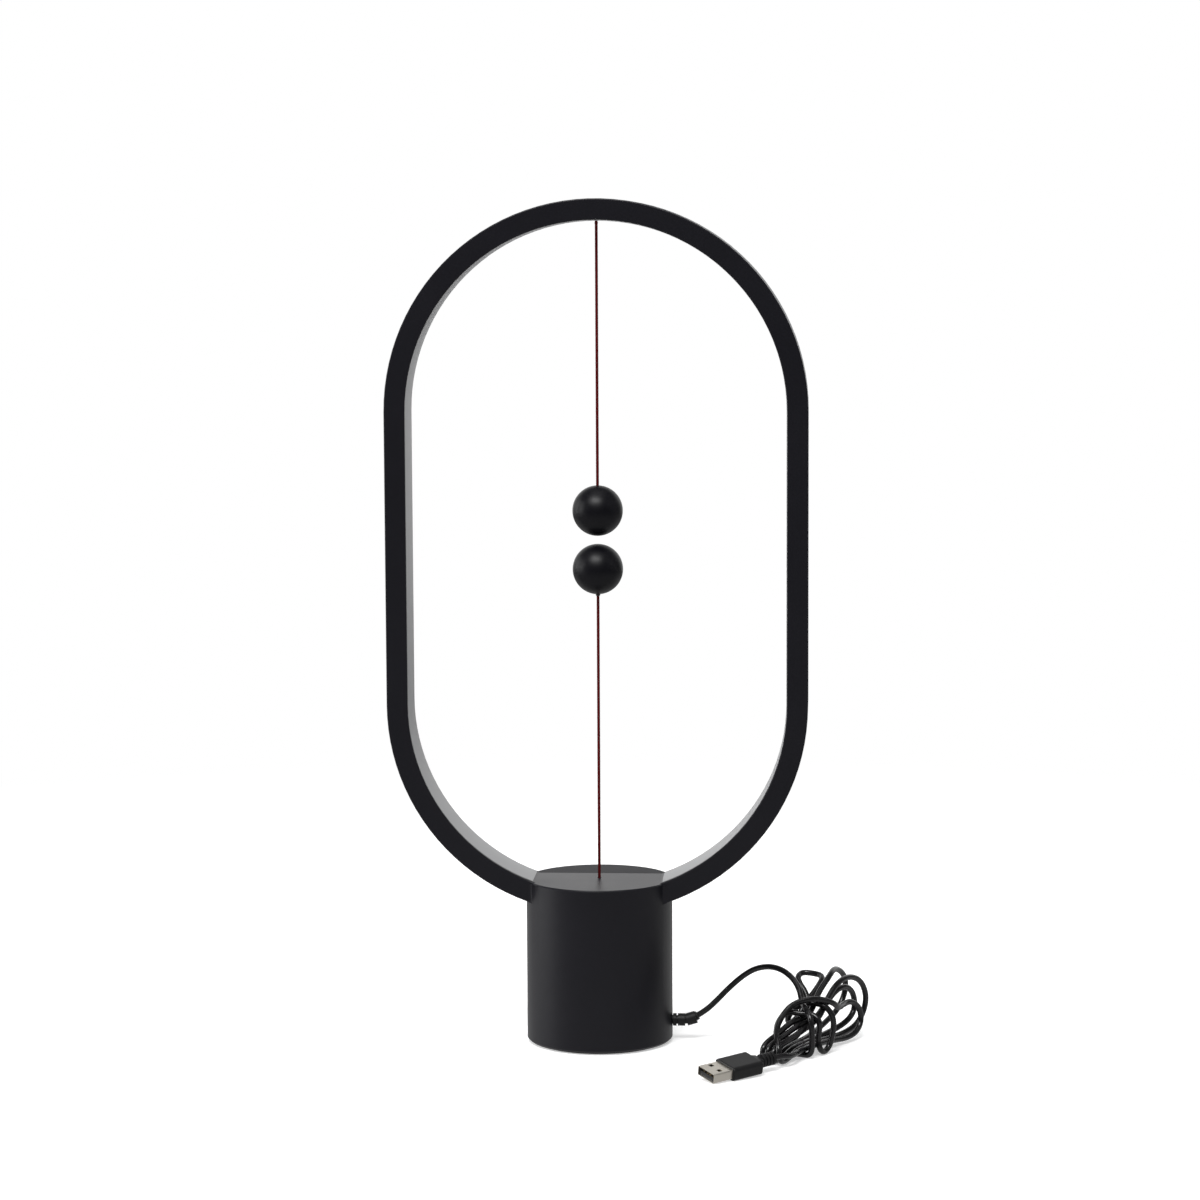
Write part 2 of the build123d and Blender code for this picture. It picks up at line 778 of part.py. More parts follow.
def clamp_screws():
    """Screws of the cable clamp, driven from below."""
    head_diameter, head_height = clamp_screw_head
    seat = clamp_ceiling - clamp_size[2]
    screws = []
    for side in (-1, 1):
        y = side * clamp_screw_spacing / 2
        head = post(head_diameter, seat - head_height, seat, clamp_middle, y)
        screws.append(head + post(clamp_screw_diameter, seat, seat + clamp_screw_reach, clamp_middle, y))
    return screws


def led_wires():
    """Two wires from the board's connector up to the strip's end beside the base's top."""
    strip_x = strip_end + strip_end_margin
    radius = channel_radius - fit_gap / 2 - flex_thickness / 2
    strip_z = lower_arc_height - sqrt(radius ** 2 - strip_x ** 2)
    wires = []
    plug_x = board_right - connector_inset
    plug_z = board_top + connector_size[2]
    for y in (-wire_spacing / 2, wire_spacing / 2):
        points = [(plug_x, y, plug_z), (plug_x + wire_rise[0], y, plug_z + wire_rise[1])]
        points += [(strip_x + across, y, strip_z + rise) for across, rise in wire_bends]
        wires.append(bent_tube(points, wire_diameter, "strip wire"))
    return wires


hank_u = Vector(cos(radians(hank_heading)), sin(radians(hank_heading)), 0)
hank_v = Vector(sin(radians(hank_heading)), -cos(radians(hank_heading)), 0)
hank_pitch = cord_diameter + hank_gap
hank_floor = cord_radius + hank_lift
hank_low = hank_floor + hank_pitch
hank_top = hank_high + hank_pitch
hank_side = (hank_loops + 1) / 2 * hank_pitch
up = Vector(0, 0, 1)


def hank_point(along, across, height):
    """Place measured from the hank's waist along its length, across it and up."""
    return Vector(*hank_waist, 0) + hank_u * along + hank_v * across + up * height


def line_to(run, end):
    """Straight run from the path's end."""
    run.append(Edge.make_line(run[-1] @ 1, end))


def arc_to(run, end):
    """Arc that leaves the path's end without a corner."""
    run.append(Edge.make_tangent_arc(run[-1] @ 1, run[-1] % 1, end))


def sway_to(run, end):
    """Two equal arcs that shift the path sideways and keep its heading."""
    arc_to(run, (run[-1] @ 1 + end) / 2)
    arc_to(run, end)


def hank_wraps(run):
    """Turns round the waist; the last one ends in a bend along the hank."""
    along = wrap_start
    for turn in range(wrap_turns):
        line_to(run, hank_point(along, hank_side, hank_floor + hank_corner))
        arc_to(run, hank_point(along, hank_side - hank_corner, hank_floor))
        line_to(run, hank_point(along, hank_corner - hank_side, hank_floor))
        arc_to(run, hank_point(along, -hank_side, hank_floor + hank_corner))
        if turn < wrap_turns - 1:
            line_to(run, hank_point(along, -hank_side, hank_top - hank_corner))
            arc_to(run, hank_point(along, hank_corner - hank_side, hank_top))
            along += wrap_step
            sway_to(run, hank_point(along, hank_side - hank_corner, hank_top))
            arc_to(run, hank_point(along, hank_side, hank_top - hank_corner))
    line_to(run, hank_point(along, -hank_side, hank_high - hank_exit - hank_dip))
    arc_to(run, hank_point(along + hank_exit, -hank_side, hank_high - hank_dip))


def hank_rows(run):
    """Loops through the waist: a wide far lobe and a small near lobe for each row."""
    for number in range(hank_loops):
        swing = 1 if number % 2 else -1
        row = number - (hank_loops - 1) / 2
        rest = hank_loops - 1 - number
        radius = far_radius + far_swing * swing
        middle = hank_floor + radius + far_lift * rest
        along = far_tip - radius - far_stagger * rest + far_uneven[number % 2]
        sway_to(run, hank_point(along, row * far_fan, middle + radius))
        arc_to(run, hank_point(along, row * far_fan, middle - radius))
        sway_to(run, hank_point(hank_neck, row * hank_pitch, hank_low))
        line_to(run, hank_point(-hank_neck, row * hank_pitch, hank_low))
        if rest:
            radius = near_radius + near_swing * swing
            middle = hank_floor + radius + near_lift * rest
            along = radius - near_tip - near_uneven * swing
            across = near_shift + row * near_fan
            sway_to(run, hank_point(along, across, middle - radius))
            arc_to(run, hank_point(along, across, middle + radius))
            sway_to(run, hank_point(-hank_neck, (row + 1) * hank_pitch, hank_high))
            line_to(run, hank_point(hank_neck, (row + 1) * hank_pitch, hank_high))


def self_gap(run, diameter):
    """Least gap of a tube to itself, between points that are well apart along it."""
    spots = []
    travel = []
    distance = 0.0
    for edge in run:
        count = ceil(edge.length / gap_sample)
        for number in range(count):
            spots.append(tuple(edge @ (number / count)))
            travel.append(distance + edge.length * number / count)
        distance += edge.length
    spots = np.array(spots)
    travel = np.array(travel)
    square = (spots ** 2).sum(axis=1)
    apart = np.sqrt(np.maximum(square[:, None] + square[None, :] - 2 * spots @ spots.T, 0.0))
    far = np.abs(travel[:, None] - travel[None, :]) > gap_skip * diameter
    return apart[far].min() - diameter


def usb_hank():
    """Bundled lead as one unbroken tube; gives the tube and its two ends."""
    start = hank_point(wrap_start, hank_side, hank_high - hank_drop)
    run = [Edge.make_line(start, start - up * cord_diameter)]
    hank_wraps(run)
    hank_rows(run)
    section = Plane(start, z_dir=-up) * Circle(cord_radius)
    tube = sweep(section, path=Wire(run))
    length = sum(edge.length for edge in run)
    print("hank length", round(length, 2), "least gap to itself", round(self_gap(run, cord_diameter), 3))
    print("hank volume over section times length", round(tube.volume / (pi * cord_radius ** 2 * length), 5))
    return tube, start, run[-1] @ 1


def usb_lead(hank_start):
    """Arch of the lead from the strain relief over to the hank's first turn."""
    route = [Vector(*p) for p in relief_route()]
    leaving = (route[-1] - route[-2]).normalized()
    points = [route[-1], route[-1] + leaving * lead_straight, *lead_arch]
    points += [hank_start + up * hank_straight, hank_start]
    return bent_tube(points, cord_diameter, "lead")


def usb_tail(hank_end, boot_end, boot_heading):
    """Short end of the lead from the hank along its right side to the plug's boot."""
    points = [hank_end, hank_end - hank_u * tail_straight]
    points += [hank_point(*bend) for bend in tail_bends]
    points += [boot_end + boot_heading * boot_straight, boot_end]
    return bent_tube(points, cord_diameter, "tail")


def along_plug(start, sketch, length, taper=0.0):
    """Outline across the plug, drawn out along its axis."""
    return extrude(Plane.YZ.offset(start) * sketch, amount=length, taper=taper)


def shell_outline():
    """Outer section of the plug's shell."""
    return RectangleRounded(*shell_size, shell_corner)


def grip_form():
    """Grip with its shoulder and ribbed boot, from the shell's end to the cord."""
    length, width, height = grip_size
    grip = along_plug(shell_shown, RectangleRounded(width, height, grip_corner), length)
    ends = grip.faces().sort_by(Axis.X)
    grip = fillet(ends[0].edges() + ends[-1].edges(), grip_end)
    grip_back = shell_shown + length
    boot_start = grip_back + shoulder_length
    shoulder = RectangleRounded(*shoulder_size, shoulder_corner)
    grip += along_plug(grip_back - grip_end, shoulder, shoulder_length + grip_end, shoulder_taper)
    grip += along_plug(boot_start - boot_root, Circle(boot_core / 2), boot_length + boot_root)
    step = (boot_length - boot_rib_width) / boot_ribs
    for number in range(boot_ribs):
        rib_start = boot_start + number * step + boot_rib_start
        grip += along_plug(rib_start, Circle(boot_diameter / 2), boot_rib_width)
    return grip - along_plug(0, shell_outline(), shell_shown + shell_hidden)


def shell_form():
    """Folded steel shell with a pair of latch windows above and below."""
    length = shell_shown + shell_hidden
    inner = RectangleRounded(shell_size[0] - 2 * shell_wall, shell_size[1] - 2 * shell_wall,
                             shell_corner - shell_wall)
    shell = along_plug(0, shell_outline() - inner, length)
    half = window_size / 2
    for side in (-1, 1):
        middle = side * window_side
        shell -= block((window_back - half, window_back + half), (middle - half, middle + half),
                       (-shell_size[1], shell_size[1]))
    return shell


def tongue_limits():
    """Half width, underside and top of the plug's insulating tongue."""
    floor = -shell_size[1] / 2 + shell_wall + magnet_fit
    return shell_size[0] / 2 - shell_wall - tongue_side_gap, floor, floor + tongue_thickness


def insulator_form():
    """Plastic tongue in the shell with the block that fills the shell's back."""
    half, floor, top = tongue_limits()
    length = shell_shown + shell_hidden
    tongue = block((tongue_setback, length), (-half, half), (floor, top))
    return tongue + block((shell_shown + insulator_start, length), (-half, half), (floor, -floor))


def contact_forms():
    """Four contact strips on the tongue."""
    top = tongue_limits()[2]
    length, width, height = contact_size
    start = 2 * tongue_setback
    return [block((start, start + length), (y - width / 2, y + width / 2), (top, top + height))
            for y in contact_spread]


plug_turn = Rot(0, 0, plug_heading) * Rot(0, -plug_pitch, 0) * Rot(plug_roll, 0, 0)
plug_rest = plug_clear - (plug_turn * grip_form()).bounding_box().min.Z
plug_place = Pos(*plug_tip, plug_rest) * plug_turn
boot_end_distance = shell_shown + grip_size[0] + shoulder_length + boot_length
boot_end = (plug_place * Pos(boot_end_distance, 0, 0)).position
plug_axis = (boot_end - plug_place.position).normalized()
print("plug tip", [round(c, 3) for c in plug_place.position], "axis", [round(c, 4) for c in plug_axis])

hank_tube, hank_start, hank_end = usb_hank()

parts = {
    "front_housing": front_housing(),
    "rear_cover": rear_cover(),
    "diffuser": diffuser(),
    "led_strip": led_strip(),
    "led_chips": led_chips(),
    "led_wires": led_wires(),
    "upper_string_anchor": string_anchor(),
    "upper_string_knot": Pos(0, 0, ring_knot_height) * Sphere(ring_knot_diameter / 2),
    "upper_string": upper_string(),
    "upper_ball": ball(upper_ball_height, -1),
    "upper_magnet": magnet(upper_ball_height, -1),
    "upper_ball_plug": ball_plug(upper_ball_height, -1),
    "lower_ball": ball(lower_ball_height, 1),
    "lower_magnet": magnet(lower_ball_height, 1),
    "lower_ball_plug": ball_plug(lower_ball_height, 1),
    "lower_ferrule": ferrule(),
    "lower_string": lower_string(),
    "lower_string_bend": Pos(0, 0, lower_pivot) * Sphere(string_radius),
    "lower_string_root": string_root(),
    "pull_carrier": pull_carrier(),
    "return_spring": return_spring(),
    "guide_cap": guide_cap(),
    "switch_lever": switch_lever(),
    "micro_switch": micro_switch(),
    "driver_board": driver_board(),
    "driver_components": driver_components(),
    "board_screws": board_screws(),
    "ballast_weight": ballast_weight(),
    "bottom_cover": bottom_cover(),
    "base_screws": base_screws(),
    "foot_pad": post(foot_diameter, 0, foot_thickness),
    "cable_strain_relief": strain_relief(),
    "inner_cable": inner_cable(),
    "cable_clamp": cable_clamp(),
    "clamp_screws": clamp_screws(),
    "usb_lead": usb_lead(hank_start),
    "usb_hank": hank_tube,
    "usb_tail": usb_tail(hank_end, boot_end, plug_axis),
    "plug_grip": plug_place * grip_form(),
    "plug_shell": plug_place * shell_form(),
    "plug_insulator": plug_place * insulator_form(),
    "plug_contacts": [plug_place * strip for strip in contact_forms()],
}

os.makedirs("parts", exist_ok=True)
for name, shape in parts.items():
    if isinstance(shape, list):
        shape = Compound(children=shape)
    export_step(shape, f"parts/{name}.step")
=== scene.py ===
from math import asin, cos, pi, radians, sin, sqrt

import bpy
from bpy.props import FloatProperty, FloatVectorProperty, IntProperty, PointerProperty
from mathutils import Matrix, Vector


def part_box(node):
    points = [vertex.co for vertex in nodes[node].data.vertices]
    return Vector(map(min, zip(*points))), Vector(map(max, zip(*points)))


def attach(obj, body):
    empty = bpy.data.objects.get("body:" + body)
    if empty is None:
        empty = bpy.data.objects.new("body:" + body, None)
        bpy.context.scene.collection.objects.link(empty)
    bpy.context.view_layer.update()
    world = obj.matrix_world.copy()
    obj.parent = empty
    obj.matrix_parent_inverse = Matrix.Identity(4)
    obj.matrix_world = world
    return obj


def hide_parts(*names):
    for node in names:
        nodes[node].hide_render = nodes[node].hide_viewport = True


bl_info = {
    "name": "Ring Lamp Looks",
    "version": (1, 0, 0),
    "blender": (4, 5, 0),
    "location": "View3D > Sidebar > Ring Lamp",
    "description": "Dresses the packed table lamp: materials, strings, balls, USB lead and a plain studio",
    "category": "Object",
}

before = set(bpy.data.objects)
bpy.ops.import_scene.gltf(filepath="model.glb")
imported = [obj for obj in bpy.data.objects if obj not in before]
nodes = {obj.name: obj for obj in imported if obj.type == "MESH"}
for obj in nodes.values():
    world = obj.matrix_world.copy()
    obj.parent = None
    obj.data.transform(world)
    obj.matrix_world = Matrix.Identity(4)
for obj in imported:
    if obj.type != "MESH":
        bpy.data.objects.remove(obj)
MM = 0.001

# Noise of the finishes, in waves per metre
BROAD_NOISE = 35.0
PATCH_NOISE = 260.0
SPECK_NOISE = 1400.0

# Ranges over which a mask goes from nothing to full
EDGE_FADE = (1.0, 0.8)  # how well the rounded and the true normal agree
PATCH_FADE = (0.35, 0.65)  # noise, for the patches that wear leaves out
UPWARD_FADE = (0.3, 1.0)  # how far a face looks up, for dust
SPECK_FADE = (0.45, 0.75)  # noise, for the specks in the dust
LEAST_SPECK = 0.15
DUST_COLOUR = (0.34, 0.33, 0.31, 1)

# Steps of the meshes
BALL_SIDES = 96
BALL_RINGS = 60
PLUG_RINGS = 9
FERRULE_SIDES = 48
THREAD_SIDES = 8
THREAD_SHARP = 60.0  # degrees
KNOT_STEPS = 72
STEPS_PER_TURN = 16  # along a string, for one turn of its strands
LEAST_STEPS = 4
LEAD_BEVEL = 6
SPLINE_STEPS = 12

# Strings
SMALL_KNOT_SHARE = 0.8  # width of the small knot, as a share of the ring's knot
KNOT_THREAD_SHARE = 0.62  # thread in a knot, as a share of the string
TURN_WIDTH_SHARE = 1.02  # turn at the base's hole, as a share of the string
TURN_THREAD_SHARE = 0.5  # thread in that turn, as a share of the string
TREFOIL_WIDTH = 6
TREFOIL_DEPTH = 1.1
STUB_RISE = 0.3 * MM  # how far the upper string goes on into its anchor
ROOT_GAP = 1.0 * MM  # how far the looks' string ends above the solid one's lower end

# Balls
HOLE_RIM_SHARE = 1.35  # where the string's hole meets the ball, as a share of the hole
HOLE_EDGE = 0.25 * MM  # depth over which the hole widens to that rim
FERRULE_SOFT = 0.15 * MM

# Camera, floor and lights
FILM_WIDTH = 36.0
FLOOR_SIDES = 96
FLOOR_TONE = (0.8, 0.8, 0.8, 1)
WHITE_FADE = (0.3, 0.9)  # metres from the lamp, to plain white for the camera
MIRROR_FADE = (0.4, 1.4)  # metres from the lamp, to the sky's strength in reflections
# Name, place, target, width, height in metres and power in watts
LIGHTS = (
    ("key_softbox", (-0.27, -1.3, 1.98), (0, 0, 0.25), 1.35, 0.72, 43.0),
    ("left_softbox", (-1.6, 0.1, 0.5), (0, 0, 0.1), 1.2, 1.0, 20.0),
    ("right_softbox", (1.6, -0.5, 1.1), (0, 0, 0.15), 0.8, 1.2, 1.5),
    ("top_softbox", (0.0, 0.1, 2.2), (0, 0, 0.1), 1.4, 1.0, 6.0),
    ("back_card", (0.0, 1.6, 0.5), (0, 0, 0.2), 3.2, 1.6, 16.0),
)


def middle_of(node):
    """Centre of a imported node's box."""
    low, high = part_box(node)
    return (low + high) / 2


def across(node):
    """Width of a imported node's box along X."""
    low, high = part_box(node)
    return high.x - low.x


class StringSizes(bpy.types.PropertyGroup):
    """The two strings and their knots."""

    diameter: FloatProperty(
        name="String Diameter", description="Diameter of the packed string", unit="LENGTH",
        default=across("lower_string"))
    swell: FloatProperty(
        name="Swell", description="Width over all the strands, as a share of the string's diameter",
        default=1.42)
    strands: IntProperty(name="Strands", description="Strands twisted into the string", default=5, min=2)
    lay_length: FloatProperty(
        name="Lay Length", description="Length in which a strand goes round once", unit="LENGTH",
        default=4.0 * MM)
    knot_width: FloatProperty(
        name="Knot Width", description="Width of the small knots", unit="LENGTH",
        default=across("upper_string_knot"))
    small_knot_rise: FloatProperty(
        name="Small Knot Height", description="Middle of the small knot above the upper ball", unit="LENGTH",
        default=1.6 * MM)


class BallSizes(bpy.types.PropertyGroup):
    """The two balls."""

    diameter: FloatProperty(
        name="Ball Diameter", description="Diameter of both balls", unit="LENGTH",
        default=across("upper_ball"))
    plug_diameter: FloatProperty(
        name="Magnet Plug Diameter", description="Domed plug over the magnet", unit="LENGTH",
        default=across("upper_ball_plug"))
    seam_width: FloatProperty(
        name="Plug Seam", description="Width and depth of the seam round the plug", unit="LENGTH",
        default=0.14 * MM)
    hole_diameter: FloatProperty(
        name="String Hole", description="Hole that the string goes into", unit="LENGTH", default=1.3 * MM)
    hole_depth: FloatProperty(
        name="Hole Depth", description="How deep the hole shows", unit="LENGTH", default=2.5 * MM)
    ferrule_width: FloatProperty(
        name="Ferrule Width", description="Ferrule under the lower ball", unit="LENGTH", default=2.2 * MM)
    ferrule_neck: FloatProperty(
        name="Ferrule Neck", description="Width of its lower end", unit="LENGTH", default=1.5 * MM)
    ferrule_height: FloatProperty(
        name="Ferrule Height", description="How far it reaches down", unit="LENGTH", default=0.9 * MM)


class CordSizes(bpy.types.PropertyGroup):
    """The USB lead and the bundle that it is tied in."""

    diameter: FloatProperty(
        name="Cord Diameter", description="Outside diameter of the lead", unit="LENGTH", default=2.8 * MM)
    length: FloatProperty(
        name="Cord Length", description="From the strain relief to the plug", unit="LENGTH", default=1.086)


class FinishColours(bpy.types.PropertyGroup):
    """Colours of the lamp's finishes."""

    housing: FloatVectorProperty(
        name="Housing", description="Satin moulded plastic", subtype="COLOR",
        default=(0.0032, 0.0029, 0.0060))
    diffuser: FloatVectorProperty(
        name="Diffuser", description="Milky plastic strip", subtype="COLOR", default=(0.268, 0.269, 0.274))
    balls: FloatVectorProperty(
        name="Balls", description="Matt lacquer", subtype="COLOR", default=(0.0014, 0.0013, 0.0032))
    strings: FloatVectorProperty(
        name="Strings", description="Dark red thread", subtype="COLOR", default=(0.075, 0.0012, 0.0018))
    cord: FloatVectorProperty(
        name="Cord", description="Semi-gloss cable jacket", subtype="COLOR", default=(0.0042, 0.0042, 0.0046))
    plug_metal: FloatVectorProperty(
        name="Plug Metal", description="Nickel plating", subtype="COLOR", default=(0.68, 0.64, 0.57))


class StudioSettings(bpy.types.PropertyGroup):
    """Camera, lights and floor."""

    eye: FloatVectorProperty(
        name="Camera Place", description="Where the photograph was taken from", subtype="TRANSLATION",
        default=(0.10973, -1.64608, 0.38801))
    yaw: FloatProperty(name="Yaw", description="Turn to the left", default=0.066, subtype="ANGLE")
    pitch: FloatProperty(name="Pitch", description="Tilt downwards", default=0.1057, subtype="ANGLE")
    roll: FloatProperty(name="Roll", description="Turn about the view", default=-0.0048, subtype="ANGLE")
    lens: FloatProperty(name="Lens", description="Focal length on a 36 mm frame", default=104.49)
    ambient: FloatProperty(
        name="Ambient Light", description="Strength of the sky on matt surfaces", default=0.40)
    floor_mirrored: FloatProperty(
        name="Mirrored Floor", description="Strength of the near floor in reflections", default=0.5)
    mirrored: FloatProperty(
        name="Mirrored Sky", description="Strength of the sky in reflections", default=0.12)
    floor_radius: FloatProperty(
        name="Floor Radius", description="Size of the floor", unit="LENGTH", default=8.0)
    lift: FloatProperty(
        name="Floor Glow", description="White that the floor adds to its own shading", default=0.42)


# Node trees


def add_node(tree, kind, links=(), **values):
    """New shader node with its settings, socket values and incoming links."""
    made = tree.nodes.new("ShaderNode" + kind)
    for name, value in values.items():
        setattr(made, name, value)
    for socket, value in dict(links).items():
        if isinstance(value, bpy.types.NodeSocket):
            tree.links.new(value, made.inputs[socket])
        else:
            made.inputs[socket].default_value = value
    return made


def new_group(name, inputs, outputs):
    """Empty shader group with its sockets; gives the group, its input node and its output node."""
    group = bpy.data.node_groups.new(name, "ShaderNodeTree")
    for socket, kind, value in inputs:
        made = group.interface.new_socket(socket, in_out="INPUT", socket_type="NodeSocket" + kind)
        made.default_value = value
    for socket, kind in outputs:
        group.interface.new_socket(socket, in_out="OUTPUT", socket_type="NodeSocket" + kind)
    return group, group.nodes.new("NodeGroupInput").outputs, group.nodes.new("NodeGroupOutput").inputs


def combined(tree, operation, first, second=None, third=None, clamp=False):
    """Value worked out from one to three sockets or numbers."""
    links = {place: value for place, value in enumerate((first, second, third)) if value is not None}
    return add_node(tree, "Math", links, operation=operation, use_clamp=clamp).outputs[0]


def spread(tree, value, low, high, to_low=0.0, to_high=1.0):
    """Value mapped from one range to another, with soft ends."""
    links = {"Value": value, "From Min": low, "From Max": high, "To Min": to_low, "To Max": to_high}
    return add_node(tree, "MapRange", links, interpolation_type="SMOOTHSTEP").outputs["Result"]


def blended(tree, factor, first, second):
    """Colour between two colours."""
    # A Mix node's sockets for colours are 6 and 7 going in and 2 coming out
    return add_node(tree, "Mix", {0: factor, 6: first, 7: second}, data_type="RGBA").outputs[2]


def rays(tree):
    """What the camera sees directly or through glass, and what gloss mirrors."""
    path = add_node(tree, "LightPath").outputs
    seen = combined(tree, "MAXIMUM", path["Is Camera Ray"], path["Is Transmission Ray"])
    return seen, path["Is Glossy Ray"]


def noise(tree, place, scale, detail):
    """Noise over a place in the piece's own space."""
    return add_node(tree, "TexNoise", {"Vector": place, "Scale": scale, "Detail": detail}).outputs["Fac"]


def moulded_grain():
    """Fine spark-eroded grain of moulded plastic, with slow changes of tone and gloss."""
    group, given, out = new_group(
        "moulded_grain",
        [("Colour", "Color", (0.5, 0.5, 0.5, 1)), ("Tone Change", "Float", 0.2),
         ("Grain Size", "Float", 0.3 * MM), ("Gloss Middle", "Float", 0.4), ("Gloss Change", "Float", 0.1)],
        [("Colour", "Color"), ("Roughness", "Float"), ("Height", "Float")])
    place = add_node(group, "TexCoord").outputs["Object"]
    fine_scale = combined(group, "DIVIDE", 1.0, given["Grain Size"])
    fine = noise(group, place, fine_scale, 2.0)
    broad = noise(group, place, BROAD_NOISE, 3.0)
    tone = combined(group, "MULTIPLY_ADD", combined(group, "SUBTRACT", broad, 0.5), given["Tone Change"], 1.0)
    scaled = add_node(group, "VectorMath", {0: given["Colour"], "Scale": tone}, operation="SCALE").outputs[0]
    group.links.new(scaled, out["Colour"])
    swing = combined(group, "MULTIPLY", combined(group, "SUBTRACT", broad, 0.5), given["Gloss Change"])
    speck = combined(group, "MULTIPLY", combined(group, "SUBTRACT", fine, 0.5), given["Gloss Change"])
    rough = combined(group, "ADD", given["Gloss Middle"], combined(group, "ADD", swing, speck), clamp=True)
    group.links.new(rough, out["Roughness"])
    group.links.new(fine, out["Height"])
    return group


def softened_edges():
    """Rounds the look of sharp edges and masks them for wear."""
    group, given, out = new_group(
        "softened_edges", [("Radius", "Float", 0.3 * MM), ("Patchiness", "Float", 0.5)],
        [("Normal", "Vector"), ("Edge", "Float")])
    bevel = add_node(group, "Bevel", {"Radius": given["Radius"]}, samples=6).outputs["Normal"]
    flat = add_node(group, "NewGeometry").outputs["Normal"]
    same = add_node(group, "VectorMath", {0: bevel, 1: flat}, operation="DOT_PRODUCT").outputs["Value"]
    edge = spread(group, same, *EDGE_FADE)
    place = add_node(group, "TexCoord").outputs["Object"]
    patches = spread(group, noise(group, place, PATCH_NOISE, 4.0), *PATCH_FADE)
    kept = combined(group, "SUBTRACT", 1.0, combined(group, "MULTIPLY", given["Patchiness"], patches))
    group.links.new(bevel, out["Normal"])
    group.links.new(combined(group, "MULTIPLY", edge, kept), out["Edge"])
    return group


def settled_dust():
    """Thin dust on what faces up."""
    group, given, out = new_group(
        "settled_dust",
        [("Colour", "Color", (0.5, 0.5, 0.5, 1)), ("Roughness", "Float", 0.4), ("Amount", "Float", 0.1)],
        [("Colour", "Color"), ("Roughness", "Float")])
    facing = add_node(group, "NewGeometry").outputs["Normal"]
    up = spread(group, add_node(group, "SeparateXYZ", {0: facing}).outputs["Z"], *UPWARD_FADE)
    place = add_node(group, "TexCoord").outputs["Object"]
    specks = spread(group, noise(group, place, SPECK_NOISE, 5.0), *SPECK_FADE, to_low=LEAST_SPECK)
    mask = combined(group, "MULTIPLY", combined(group, "MULTIPLY", up, specks), given["Amount"], clamp=True)
    group.links.new(blended(group, mask, given["Colour"], DUST_COLOUR), out["Colour"])
    group.links.new(combined(group, "ADD", given["Roughness"], mask, clamp=True), out["Roughness"])
    return group


EFFECTS = {"grain": moulded_grain, "edges": softened_edges, "dust": settled_dust}
built = {}


def placed(tree, name, links):
    """An effect's shader group placed in a material, built at its first use; gives its outputs."""
    if name not in built:
        built[name] = EFFECTS[name]()
    return add_node(tree, "Group", links, node_tree=built[name]).outputs


def finish(name, colour, tone=0.25, grain=0.3, gloss=0.4, gloss_change=0.12, bump=0.0, edge=0.0,
           edge_radius=0.3, edge_tone=3.0, dust=0.0, **shader):
    """Material of one finish: grain, worn edges and dust before a plain shader. Lengths in millimetres."""
    made = bpy.data.materials.new(name)
    made.use_nodes = True
    made.diffuse_color = (*colour, 1)
    tree = made.node_tree
    surface = tree.nodes["Principled BSDF"]
    for socket, value in shader.items():
        surface.inputs[socket.replace("_", " ")].default_value = value
    grained = placed(tree, "grain", {
        "Colour": (*colour, 1), "Tone Change": tone, "Grain Size": grain * MM, "Gloss Middle": gloss,
        "Gloss Change": gloss_change})
    tint, rough, normal = grained["Colour"], grained["Roughness"], None
    if edge:
        worn = placed(tree, "edges", {"Radius": edge_radius * MM, "Patchiness": 0.6})
        lighter = (*[min(1.0, edge_tone * part) for part in colour], 1)
        tint = blended(tree, combined(tree, "MULTIPLY", worn["Edge"], edge), tint, lighter)
        normal = worn["Normal"]
    if dust:
        settled = placed(tree, "dust", {"Colour": tint, "Roughness": rough, "Amount": dust})
        tint, rough = settled["Colour"], settled["Roughness"]
    tree.links.new(tint, surface.inputs["Base Color"])
    tree.links.new(rough, surface.inputs["Roughness"])
    if bump:
        links = {"Height": grained["Height"], "Strength": bump, "Distance": grain * MM / 2}
        if normal:
            links["Normal"] = normal
        normal = add_node(tree, "Bump", links).outputs["Normal"]
    if normal:
        tree.links.new(normal, surface.inputs["Normal"])
    return made


def dress(material, slot, *names):
    """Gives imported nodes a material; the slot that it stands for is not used."""
    for name in names:
        nodes[name].data.materials.clear()
        nodes[name].data.materials.append(material)


def own(obj, material, body):
    """Finishes a new piece: its material and the body that it rides on."""
    obj.data.materials.append(material)
    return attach(obj, body)


# Shapes


def mesh_piece(name, points, faces, sharp=35.0):
    """New smooth mesh object with sharp edges where faces meet at more than that angle."""
    data = bpy.data.meshes.new(name)
    data.from_pydata([tuple(p) for p in points], [], faces)
    data.validate()
    data.shade_smooth()
    data.set_sharp_from_angle(angle=radians(sharp))
    made = bpy.data.objects.new(name, data)
    bpy.context.scene.collection.objects.link(made)
    return made


def turned(profile, segments):
    """Closed body turned about the Z axis from (radius, height) pairs; the first and last lie on the axis."""
    points = [(0, 0, profile[0][1])]
    for radius, height in profile[1:-1]:
        points += [(radius * cos(2 * pi * n / segments), radius * sin(2 * pi * n / segments), height)
                   for n in range(segments)]
    points.append((0, 0, profile[-1][1]))
    rings = len(profile) - 2
    faces = [(0, 1 + (n + 1) % segments, 1 + n) for n in range(segments)]
    for ring in range(rings - 1):
        low = 1 + ring * segments
        high = low + segments
        faces += [(low + n, low + (n + 1) % segments, high + (n + 1) % segments, high + n)
                  for n in range(segments)]
    last = 1 + (rings - 1) * segments
    faces += [(last + n, last + (n + 1) % segments, len(points) - 1) for n in range(segments)]
    return points, faces


def sphere_height(radius, out):
    """Height of a sphere's surface over its middle, at a distance from its axis."""
    return sqrt(radius ** 2 - out ** 2)


